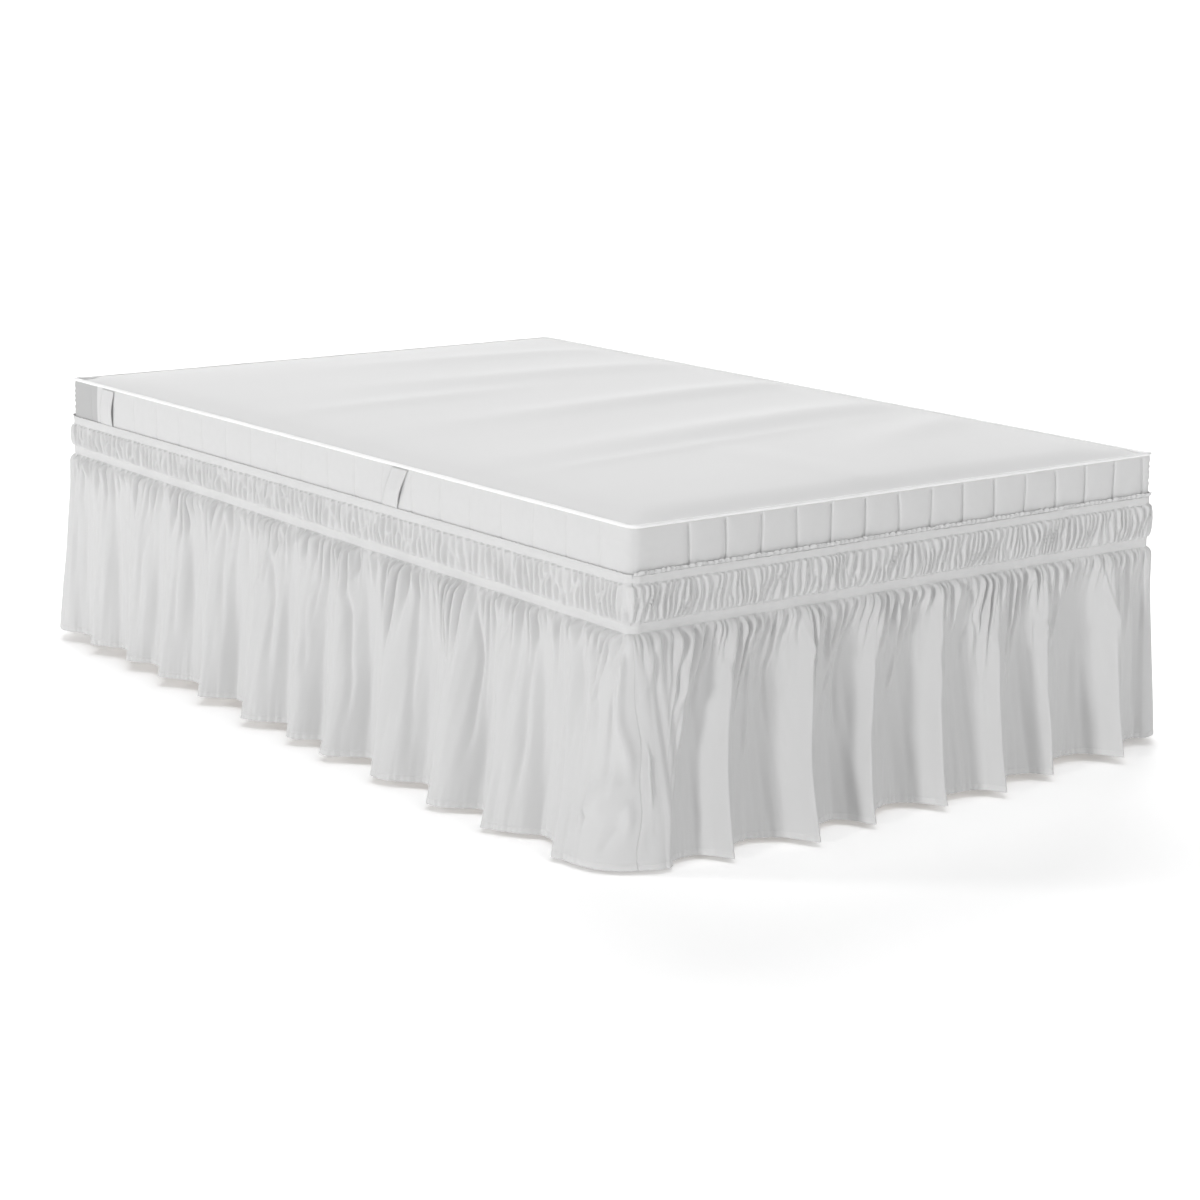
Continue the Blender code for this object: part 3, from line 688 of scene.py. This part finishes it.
def band(name, places, profile_at, finish, thickness=None):
    """Closed band or tube round the bed, its first column repeated at the end."""
    strips = []
    for corners in ROUND_TRIP:
        side = Side("round", *corners)
        s = places(side)[None, :]
        strips.append(side.place(s, *profile_at(side, s)))
    points = np.concatenate((*strips, strips[0][:, :1]), axis=1)
    return sew(name, points, finish, thickness, offset=-1.0, ring=True)


# Rows across a tape, its ripples and the spacing of its columns
TAPE_SHARES = (0.0, 0.07, 0.32, 0.68, 0.93, 1.0)
RIPPLES, RIPPLE_LENGTHS = 8, (0.009, 0.036)
TAPE_SETTLING, TAPE_STEP = 0.030, 0.0042


def elastic_tape(name, edges, riding, finish, seed):
    """Flat elastic tape, sewn on, so that it follows the gathers a little."""
    shares = np.array(TAPE_SHARES)[:, None]
    rng = np.random.default_rng(seed)
    waves = [(rng.uniform(*RIPPLE_LENGTHS), rng.uniform(0, 2 * math.pi)) for _ in range(RIPPLES)]

    def profile_at(side, s):
        ripple = sum(np.sin(s / wide * 2 * math.pi + at) for wide, at in waves) / len(waves)
        free = smooth(0.0, TAPE_SETTLING, side.from_end(s))
        across = 2 * shares - 1
        rounded = -TAPE_ROUNDING * np.abs(across) ** 6
        offset = TAPE_SEAT + TAPE_GAP + side.ease(s) + TAPE_THICKNESS + rounded
        swell = 1 + ripple + 0.3 * np.sin(4 * shares + s / 0.02)
        offset = offset + TAPE_RIPPLE * swell * free
        drift = TAPE_DRIFT * np.sin(s / 0.083) * free + TAPE_TWIST * ripple * across * free
        height = TOP_HEIGHT - edges[0] - (edges[1] - edges[0]) * shares + drift
        return offset, height + side.tape_rise(s) * riding

    return band(name, even_places(TAPE_STEP), profile_at, finish, TAPE_THICKNESS)


def piping_cord(finish):
    """Corded piping over the seam round the mattress top."""
    turn = np.linspace(0, 2 * math.pi, CORD_POINTS)[:, None]

    def profile_at(side, s):
        full = CORD_RADIUS * (1 + 0.035 * np.sin(s / 0.013) + 0.03 * np.sin(s / 0.047 + 1))
        sway = CORD_SWAY * np.sin(s / 0.06) * smooth(0.0, 0.05, side.from_end(s))
        from_near = side.length - s if side.run[0] < -0.5 else s
        sunk = CORD_SINK * smooth(0.0, 0.03, from_near) * (side.start[0] > 0)
        return sway + full * np.cos(turn), TOP_HEIGHT - sunk + full * np.sin(turn)

    return band("piping", even_places(CORD_STEP), profile_at, finish)


def channels(side):
    """The border's sewn channels, counted from the foot and from the left."""
    sewn = CHANNELS_END if side.on_end else CHANNELS_SIDE
    return [side.length - at if min(side.run) < -0.5 else at for at in sewn]


def border_places(side):
    """A side's places, close together at the border's sewn channels."""
    sewn = channels(side)
    near = [at + gap for at in sewn for gap in CHANNEL_COLUMNS]
    open_run = [s for s in np.arange(side.first, side.last - OPEN_STEP / 4, OPEN_STEP)
                if min(abs(s - at) for at in sewn) > CHANNEL_ROOM]
    return np.array(sorted(near + open_run))


def quilted_border(finish):
    """Padded strip round the mattress, sewn through in upright channels."""
    shares = np.array((0, .02, .05, .09, .14, .20, .26, .32, .38, .44, .50, .57, .64, .71, .78, .85,
                       .92, 1.0))[:, None]
    below = BORDER_TOP + (BORDER_DEPTH - BORDER_TOP) * shares

    def profile_at(side, s):
        tight = 1.0 if side.on_end else LONG_SIDE_DRAW
        offset = BORDER_PUFF * np.sin(math.pi * shares) ** 0.5 - BORDER_SINK
        for number, at in enumerate(channels(side)):
            slant = CHANNEL_LEAN * (shares - 0.35) * (0.3 + 0.7 * math.sin(number * 2.3 + 0.8))
            slant = slant + CHANNEL_BOW * np.sin(math.pi * shares) * math.sin(number * 1.3)
            away = np.abs(s - at - slant)
            drawn = smooth(0.0, 0.10, shares) * (0.88 + 0.12 * math.sin(number * 1.7)) * tight
            offset = offset - drawn * sum(depth * np.exp(-(away / half_width) ** 2)
                                          for depth, half_width in CHANNEL_HOLLOWS)
        near = side.from_end(s)
        for down, reach, depth in CORNER_WRINKLES:
            line = np.exp(-((below - down - WRINKLE_SLANT * near) / WRINKLE_WIDTH) ** 2)
            offset = offset - depth * line * np.exp(-(near / reach) ** 2)
        return offset, TOP_HEIGHT - below

    return band("mattress_border", border_places, profile_at, finish)


# Soft ridges of the mattress top: middle x and y, bearing in degrees, half
# length, half width, height
TOP_RIDGES = (
    (0.34, 0.05, 5, 0.60, 0.060, 0.0062),
    (0.28, -0.32, 7, 0.60, 0.070, 0.0074),
    (-0.10, -0.50, 7, 0.50, 0.024, 0.0020),
    (0.54, -0.54, 22, 0.28, 0.055, 0.0046),
    (-0.06, -0.74, 95, 0.22, 0.060, 0.0030),
    (0.24, -0.72, 70, 0.20, 0.055, 0.0034),
    (0.34, 0.46, -3, 0.55, 0.070, 0.0048),
    (-0.25, 0.29, 2, 0.35, 0.050, 0.0030),
    (0.35, 0.76, -5, 0.45, 0.060, 0.0040),
    (0.60, -0.84, 40, 0.20, 0.050, 0.0020),
)
# The crown rises from the edges: foot and head, left and right
CROWN = 0.013
CROWN_RISE = (0.085, 0.20, 0.08, 0.16)
TOP_EDGE_WIDTH = 0.06
CORE_INSET = 0.0036
CORE_CUTS = (84, 124, 2)
# The relief grows in over so far from the edge, which drops on the foot and left
# sides by the first measure and on the others by the second
RELIEF_START, EDGE_DROP = 0.10, (0.0040, 0.0010)


def top_relief(x, y):
    """Low crown of the mattress top and its soft ridges."""
    inward = (HALF_LENGTH + y, HALF_LENGTH - y, HALF_WIDTH + x, HALF_WIDTH - x)
    total = CROWN
    for away, rise in zip(inward, CROWN_RISE):
        total = total * (1 - np.exp(-away / rise))
    for middle_x, middle_y, bearing, half_length, half_width, height in TOP_RIDGES:
        along, across = math.cos(math.radians(bearing)), math.sin(math.radians(bearing))
        u = ((x - middle_x) * along + (y - middle_y) * across) / half_length
        v = ((y - middle_y) * along - (x - middle_x) * across) / half_width
        total = total + height * np.exp(-u ** 2 - v ** 2)
    return total


def mattress_core(finish):
    """Mattress block under its border and piping, its top softly uneven."""
    bm = bmesh.new()
    bmesh.ops.create_cube(bm, size=2.0)
    for axis, cuts in enumerate(CORE_CUTS):
        along = [e for e in bm.edges if abs((e.verts[0].co - e.verts[1].co)[axis]) > 1]
        bmesh.ops.subdivide_edges(bm, edges=along, cuts=cuts, use_grid_fill=True)
    mesh = to_mesh("mattress", bm)
    places = np.zeros(len(mesh.vertices) * 3)
    mesh.vertices.foreach_get("co", places)
    unit = places.reshape(-1, 3)
    half = np.array((HALF_WIDTH, HALF_LENGTH)) - CORE_INSET
    flat = unit[:, :2] * half
    over = np.abs(flat) - (half - CORNER_RADIUS)
    in_corner = (over > 0).all(axis=1)
    size = np.linalg.norm(over, axis=1)
    pull = np.where(in_corner, np.max(over, axis=1) / np.maximum(size, 1e-9), 1.0)
    sign = np.sign(flat)
    flat = np.where(in_corner[:, None], sign * (half - CORNER_RADIUS + over * pull[:, None]), flat)
    edge = np.min(half - np.abs(flat), axis=1)
    relief = top_relief(flat[:, 0], flat[:, 1]) * smooth(0.0, RELIEF_START, edge)
    near_edge = np.min(half + flat, axis=1) < TOP_EDGE_WIDTH
    drop = np.where(near_edge, *EDGE_DROP)
    top = TOP_HEIGHT - drop * (1 - smooth(0.0, TOP_EDGE_WIDTH, edge)) + relief
    side_height = TOP_HEIGHT - BORDER_TOP - MATTRESS_BOTTOM
    below_top = MATTRESS_BOTTOM + side_height * (unit[:, 2] + 1) / 2
    height = np.where(unit[:, 2] > 0.99, top, below_top)
    mesh.vertices.foreach_set("co", np.column_stack((flat, height)).ravel())
    mesh.shade_smooth()
    mesh.materials.append(finish)
    return put("mattress_core", mesh)


def strap(name, finish):
    """Webbing handle that bows out between the piping and the skirt."""
    along, slant, bow = HANDLES[name]
    side = Side("round", (-1, -1), (-1, 1))
    u = np.linspace(0, 1, STRAP_ROWS)[:, None]
    across = np.linspace(-0.5, 0.5, STRAP_COLUMNS)[None, :]
    below = HANDLE_DROP[0] + (HANDLE_DROP[1] - HANDLE_DROP[0]) * u
    middle = np.sin(math.pi * u)
    stand = STRAP_SEAT + STRAP_BULGE * middle + bow * np.sin(math.pi * u ** 1.25) ** 1.3
    cup = -STRAP_CUP * np.abs(2 * across) ** 3 * middle
    s = along + slant * u + across * HANDLE_WIDTH * (1 - STRAP_WAIST * middle)
    points = side.place(s, stand + cup, TOP_HEIGHT - below)
    return sew(name + "_webbing", points, finish, STRAP_THICKNESS)


class Value:
    """A shader socket that works in sums: each sum adds its Math node."""

    def __init__(self, finish, socket):
        self.finish, self.socket = finish, socket

    def math(self, operation, *others):
        settings = {"operation": operation}
        return self.finish.node("Math", settings, dict(enumerate((self, *others))))

    def __add__(self, other):
        return self.math("ADD", other)

    def __sub__(self, other):
        return self.math("SUBTRACT", other)

    def __rsub__(self, other):
        return self.finish.node("Math", {"operation": "SUBTRACT"}, {0: other, 1: self})

    def __mul__(self, other):
        return self.math("MULTIPLY", other)

    __radd__ = __add__
    __rmul__ = __mul__

    def absolute(self):
        return self.math("ABSOLUTE")

    def step(self, low, high):
        """Soft step from 0 at low to 1 at high."""
        settings = {"interpolation_type": "SMOOTHSTEP"}
        sockets = {"Value": self, "From Min": low, "From Max": high}
        return self.finish.node("MapRange", settings, sockets)


class Finish:
    """A procedural material, built round its Principled shader."""

    def __init__(self, name, **fixed):
        self.material = bpy.data.materials.new(name)
        self.material.use_nodes = True
        self.tree = self.material.node_tree
        self.shader = self.tree.nodes["Principled BSDF"]
        for socket, value in fixed.items():
            self.shader.inputs[socket.replace("_", " ")].default_value = value

    def feed(self, socket, value):
        if isinstance(value, Value):
            self.tree.links.new(value.socket, socket)
        else:
            socket.default_value = value

    def node(self, kind, settings=None, sockets=None, output=0):
        """Add a node: its settings first, then the values or links of its sockets."""
        made = self.tree.nodes.new("ShaderNode" + kind)
        for name, value in (settings or {}).items():
            setattr(made, name, value)
        for name, value in (sockets or {}).items():
            self.feed(made.inputs[name], value)
        return Value(self, made.outputs[output])

    def coordinates(self, kind, scale, turn=0.0):
        """Object or UV coordinates, in metres, scaled for a pattern."""
        source = self.node("TexCoord", output=kind)
        sockets = {"Vector": source, "Scale": scale, "Rotation": (0.0, 0.0, turn)}
        return self.node("Mapping", {}, sockets)

    def on_cloth(self, along, down, turn=0.0):
        """UV coordinates, so many times to the metre along and down the cloth."""
        return self.coordinates("UV", (along, down, 1.0), turn)

    def noise(self, vector, detail=2.0, roughness=0.5):
        sockets = {"Vector": vector, "Scale": 1.0, "Detail": detail, "Roughness": roughness}
        return self.node("TexNoise", {}, sockets, output="Fac")

    def bands(self, vector, direction):
        settings = {"wave_type": "BANDS", "bands_direction": direction}
        return self.node("TexWave", settings, {"Vector": vector, "Scale": 1.0}, output="Fac")

    def blend(self, factor, first, second):
        """Colour between two colours."""
        settings = {"data_type": "RGBA", "blend_type": "MIX"}
        return self.node("Mix", settings, {0: factor, 6: first, 7: second}, output=2)

    def colour(self, value):
        self.feed(self.shader.inputs["Base Color"], value)

    def pale(self, tone, dark, light):
        """Colour between two greys."""
        return self.blend(tone, grey(dark), grey(light))

    def roughness(self, value):
        self.feed(self.shader.inputs["Roughness"], value)

    def relief(self, height, distance, strength):
        """Fine relief through a Bump node, its distance in metres."""
        sockets = {"Height": height, "Distance": distance, "Strength": strength}
        bump = self.node("Bump", {}, sockets)
        self.feed(self.shader.inputs["Normal"], bump)


# Turns of the Wave texture's bands in one unit of its coordinates
WAVE_TURNS = 20.0 / (2 * math.pi)
CLOTH_DARK, CLOTH_LIGHT = 0.572, 0.616
# Where shade is painted darker onto the border's left side, from here to the head
PAINTED_SHADE_START = 0.898


def grey(value):
    return (value, value, value, 1.0)


def repeats(pitch):
    """Scale that repeats a band pattern once in every pitch."""
    return 1 / (pitch * WAVE_TURNS)


def woven(finish, pitch):
    """Plain weave on the UV map: threads both ways and thicker ones among them."""
    cloth = finish.on_cloth(repeats(pitch), repeats(pitch))
    warp, weft = finish.bands(cloth, "X"), finish.bands(cloth, "Y")
    upright = finish.noise(finish.on_cloth(1 / (3 * pitch), 18.0))
    across = finish.noise(finish.on_cloth(18.0, 1 / (3 * pitch)))
    threads = (warp + weft) * 0.5
    return threads, upright * 0.35 + across * 0.35


def skirt_cloth(name, painted_lift, hemmed):
    """Brushed plain-weave cloth, double and stitched at its hem if it has one, painted lighter by
    its lift to offset shade.
    """
    finish = Finish(name, Roughness=0.9, Sheen_Weight=0.12, Sheen_Roughness=0.5)
    threads, slubs = woven(finish, 0.0006)
    mottle = finish.noise(finish.on_cloth(9.0, 9.0), 3.0)
    tone = (mottle - 0.5) * 0.25 + (slubs - 0.35) * 0.5 + (threads - 0.5) * 0.08 + 0.5
    if hemmed:
        flat = finish.node("TexCoord", output="UV")
        above = finish.node("SeparateXYZ", {}, {"Vector": flat}, output="Y")
        double = 1 - above.step(0.0110, 0.0118)
        stitches = finish.bands(finish.on_cloth(repeats(0.0032), 1.0), "X")
        sewn = 1 - (above - HEM_SEAM).absolute().step(0.0002, 0.0007)
        tone = tone + double * 0.8 - sewn * stitches * 0.8
    finish.colour(finish.pale(tone, CLOTH_DARK + painted_lift, CLOTH_LIGHT + painted_lift))
    finish.roughness(0.84 + 0.10 * slubs)
    finish.relief(threads * 0.6 + slubs, 0.00025, 0.6)
    return finish.material


def elastic():
    """Knitted elastic: close ribs along it and fine bars across."""
    finish = Finish("elastic_tape", Roughness=0.8, Sheen_Weight=0.08)
    ribs = finish.bands(finish.on_cloth(1.0, repeats(0.0014)), "Y")
    bars = finish.bands(finish.on_cloth(repeats(0.0017), 1.0), "X")
    mottle = finish.noise(finish.on_cloth(40.0, 160.0), 3.0)
    tone = (mottle - 0.5) * 1.2 + (ribs - 0.5) * 0.15 + 0.5
    finish.colour(finish.pale(tone, 0.594, 0.652))
    finish.roughness(0.76 + 0.08 * bars)
    finish.relief(ribs * 0.6 + bars * 0.4 + mottle * 0.6, 0.0003, 0.7)
    return finish.material


def border_ticking():
    """Knitted ticking with a faint figured weave, and a painted shade on its left side near the
    head.
    """
    finish = Finish("border_ticking", Roughness=0.85, Sheen_Weight=0.05)
    threads, slubs = woven(finish, 0.0008)
    mottle = finish.noise(finish.on_cloth(60.0, 60.0), 3.0)
    tone = (mottle - 0.5) * 0.6 + (threads - 0.5) * 0.1 + 0.5
    plain = finish.pale(tone, 0.596, 0.638)
    place = finish.node("TexCoord", output="Object")
    axes = [finish.node("SeparateXYZ", {}, {"Vector": place}, output=axis) for axis in "XY"]
    # Painted shade: the left border from the start mark to the head is blended towards a darker
    # grey
    on_left = 1 - (axes[0] + HALF_WIDTH).step(0.001, 0.004)
    painted_shade = on_left * axes[1].step(PAINTED_SHADE_START - 0.002, PAINTED_SHADE_START + 0.002)
    finish.colour(finish.blend(painted_shade * 0.8, plain, grey(0.40)))
    finish.relief(threads * 0.5 + slubs + mottle, 0.0004, 0.6)
    return finish.material


def top_ticking():
    """Smooth ticking of the mattress top, with a few pulled threads."""
    finish = Finish("top_ticking", Roughness=0.85, Sheen_Weight=0.05)
    weave = finish.noise(finish.coordinates("Object", (700.0, 90.0, 1.0)), 2.0)
    cross = finish.noise(finish.coordinates("Object", (90.0, 700.0, 1.0)), 2.0)
    mottle = finish.noise(finish.coordinates("Object", (3.0, 6.0, 1.0)), 3.0)
    tone = (mottle - 0.5) * 0.5 + (weave - 0.5) * 0.12 + (cross - 0.5) * 0.12 + 0.5
    finish.colour(finish.pale(tone, 0.645, 0.680))
    finish.relief(weave + cross, 0.0003, 0.5)
    return finish.material


def satin_piping():
    """Bright bias-cut piping, its threads on the slant."""
    finish = Finish("piping_satin", Roughness=0.5, Sheen_Weight=0.1)
    slant = math.radians(45)
    slanted = finish.bands(finish.on_cloth(repeats(0.0008), repeats(0.0008), slant), "X")
    mottle = finish.noise(finish.on_cloth(60.0, 60.0))
    finish.colour(finish.pale(mottle, 0.84, 0.87))
    finish.roughness(0.5 + 0.15 * slanted)
    finish.relief(slanted, 0.0002, 0.5)
    return finish.material


def webbing():
    """Woven strap with upright ribs and fine bars across."""
    finish = Finish("strap_webbing", Roughness=0.75, Sheen_Weight=0.08)
    ribs = finish.bands(finish.on_cloth(repeats(0.0021), 1.0), "X")
    bars = finish.bands(finish.on_cloth(1.0, repeats(0.0011)), "Y")
    mottle = finish.noise(finish.on_cloth(120.0, 120.0))
    finish.colour(finish.pale(mottle * 0.6 + ribs * 0.4, 0.615, 0.655))
    finish.relief(ribs * 0.7 + bars * 0.3 + mottle * 0.3, 0.0005, 0.8)
    return finish.material


def pale_wood():
    """Planed pale wood with its grain along each board."""
    finish = Finish("frame_wood", Roughness=0.55)
    grain = finish.noise(finish.coordinates("Object", (60.0, 4.0, 60.0)), 6.0, 0.6)
    figure = finish.noise(finish.coordinates("Object", (9.0, 0.8, 9.0)), 3.0)
    rings = ((figure * 14.0 + grain * 1.5).math("SINE") + 1) * 0.5
    tone = rings * 0.55 + grain * 0.45
    light, dark = (0.50, 0.39, 0.275, 1.0), (0.37, 0.27, 0.17, 1.0)
    finish.colour(finish.blend(tone, light, dark))
    finish.roughness(0.48 + 0.18 * grain)
    finish.relief(grain, 0.0004, 0.4)
    return finish.material


# Build: gathers as ranges of pitch, height and length, then what differs from
# side to side
GATHER_SETS = (
    ((0.014, 0.034), (0.0028, 0.0075), (0.024, 0.190)),
    ((0.007, 0.015), (0.0010, 0.0032), (0.012, 0.050)),
)
GATHER_SLANT = {"foot": 0.0, "left": 0.16, "right": -0.06, "head": 0.06}
GATHER_DEPTH = {"foot": 1.35, "left": 1.85, "right": 0.9, "head": 1.1}
CORNER_GATHER_DEPTH = 1.2
RIDGE_STRENGTH, TROUGH_STRENGTH = 1.5, 0.7
STRIP_GATHERS = {
    "foot": ((0.007, 0.022), (0.0034, 0.0086)),
    "left": ((0.010, 0.026), (0.0046, 0.0104)),
    "right": ((0.010, 0.026), (0.0022, 0.0052)),
    "head": ((0.010, 0.026), (0.0034, 0.0086)),
}
FRILL_LENGTH = {"foot": 1.0, "left": 0.4, "right": 0.8, "head": 0.8}
FRILL_STAND = {"foot": 1.0, "left": 0.02, "right": 0.7, "head": 0.7}
FRILL_ROLL = {"foot": 0.0, "left": 0.0016, "right": 0.001, "head": 0.001}
# Side, columns and rows of its ruffle, columns of its heading, slant of its shirring
SIDES = (
    (Side("foot", (-1, -1), (1, -1), FOOT_FOLDS, FOOT_CREASES, 21), 1000, 36, 800, 0.009),
    (Side("left", (-1, -1), (-1, 1), LEFT_FOLDS, LEFT_CREASES, 22), 1000, 36, 900, 0.0035),
    (Side("right", (1, -1), (1, 1), RIGHT_FOLDS, (), 23), 560, 24, 480, 0.006),
    (Side("head", (-1, 1), (1, 1), HEAD_FOLDS, (), 24), 440, 24, 380, 0.006),
)

cloth = skirt_cloth("skirt_cloth", 0.0, True)
# The heading is the same cloth as the ruffle, painted lighter to offset the shade between its
# gathers
heading_cloth_painted_lighter = skirt_cloth("heading_cloth_painted_lighter", 0.010, False)
tape_finish = elastic()
for side, columns, rows, strip_columns, slant in SIDES:
    flat_length = side.hem_length()
    fall = ruffle(side, columns, rows, cloth)
    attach(fall, "root")
    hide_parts(f"panel_{side.name}")
    head = heading(side, strip_columns, heading_cloth_painted_lighter, slant)
    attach(head, "root")
    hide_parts(f"panel_{side.name}")

# Node, edges, whether it rides up at the far corners, seed
TAPES = (("tape_upper", UPPER_TAPE, 0, 5), ("tape_lower", LOWER_TAPE, 1, 6))
for node, edges, riding, seed in TAPES:
    tape = elastic_tape(node + "_band", edges, riding, tape_finish, seed)
    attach(tape, "root")
    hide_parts(node)

piping = piping_cord(satin_piping())
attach(piping, "root")
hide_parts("piping")

border = quilted_border(border_ticking())
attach(border, "root")
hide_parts("mattress")

core = mattress_core(top_ticking())
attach(core, "root")
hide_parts("mattress")

strap_finish = webbing()
for node in HANDLES:
    handle = strap(node, strap_finish)
    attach(handle, "root")
    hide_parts(node)

wood = pale_wood()
for name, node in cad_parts.items():
    if name == "bed_frame" or name.startswith("leg_"):
        for part_slot in node.material_slots:
            part_slot.material = wood


# Stage: floor, soft light and camera
FLOOR_RADIUS = 140.0
FLOOR_GLOW = 0.31
ROOM_LIGHT = 0.0
# Soft lamps: bearing from +X and rise, both in degrees, width in degrees, strength
LIGHTS = (
    ("key", 193, 11, 8, 0.425),
    ("back_left", 137, 18, 10, 0.29),
    ("front_fill", 276, 25, 50, 0.355),
    ("far_light", 57, 20, 50, 0.98),
    ("top_light", 0, 90, 50, 0.31),
)
# Camera: its place, its sight round from +Y and down and its roll in degrees,
# its focal length and film width in millimetres
CAMERA_PLACE = (-3.7554, -4.7529, 1.5977)
CAMERA_TURN = (38.76, 13.024, 1.103)
FOCAL_LENGTH, FILM_WIDTH = 84.82, 36.0


def stage():
    """Floor, room and lamps."""
    bm = bmesh.new()
    bmesh.ops.create_circle(bm, cap_ends=True, segments=96, radius=FLOOR_RADIUS)
    mesh = to_mesh("floor", bm)
    floor = put("floor", mesh)
    finish = Finish("floor_paper", Roughness=0.9, Specular_IOR_Level=0.1,
                    Emission_Strength=FLOOR_GLOW)
    finish.shader.inputs["Emission Color"].default_value = grey(1.0)
    paper = finish.noise(finish.coordinates("Object", (2.0, 2.0, 1.0)), 2.0)
    finish.colour(finish.pale(paper, 0.94, 0.95))
    mesh.materials.append(finish.material)

    world = bpy.data.worlds.new("studio")
    world.use_nodes = True
    background = world.node_tree.nodes["Background"]
    background.inputs["Color"].default_value = grey(1.0)
    background.inputs["Strength"].default_value = ROOM_LIGHT
    bpy.context.scene.world = world
    bpy.context.scene.view_settings.view_transform = "Standard"

    for name, bearing, rise, width, strength in LIGHTS:
        lamp = bpy.data.lights.new(name, "SUN")
        lamp.angle = math.radians(width)
        lamp.energy = math.pi * strength
        holder = put(name, lamp)
        flat = math.cos(math.radians(rise))
        toward = Vector((flat * math.cos(math.radians(bearing)),
                         flat * math.sin(math.radians(bearing)), math.sin(math.radians(rise))))
        holder.rotation_euler = toward.to_track_quat("Z", "Y").to_euler()


def camera():
    around, down, roll = (math.radians(turn) for turn in CAMERA_TURN)
    sight = Vector((math.sin(around) * math.cos(down), math.cos(around) * math.cos(down),
                    -math.sin(down)))
    right = sight.cross(Vector((0, 0, 1))).normalized()
    up = right.cross(sight)
    right, up = (math.cos(roll) * right + math.sin(roll) * up,
                 math.cos(roll) * up - math.sin(roll) * right)
    turn = Matrix((right, up, -sight)).transposed().to_4x4()
    lens = bpy.data.cameras.new("camera")
    lens.lens, lens.sensor_width = FOCAL_LENGTH, FILM_WIDTH
    lens.clip_end = 400.0
    holder = put("camera", lens)
    holder.matrix_world = Matrix.Translation(CAMERA_PLACE) @ turn
    bpy.context.scene.camera = holder


stage()
camera()
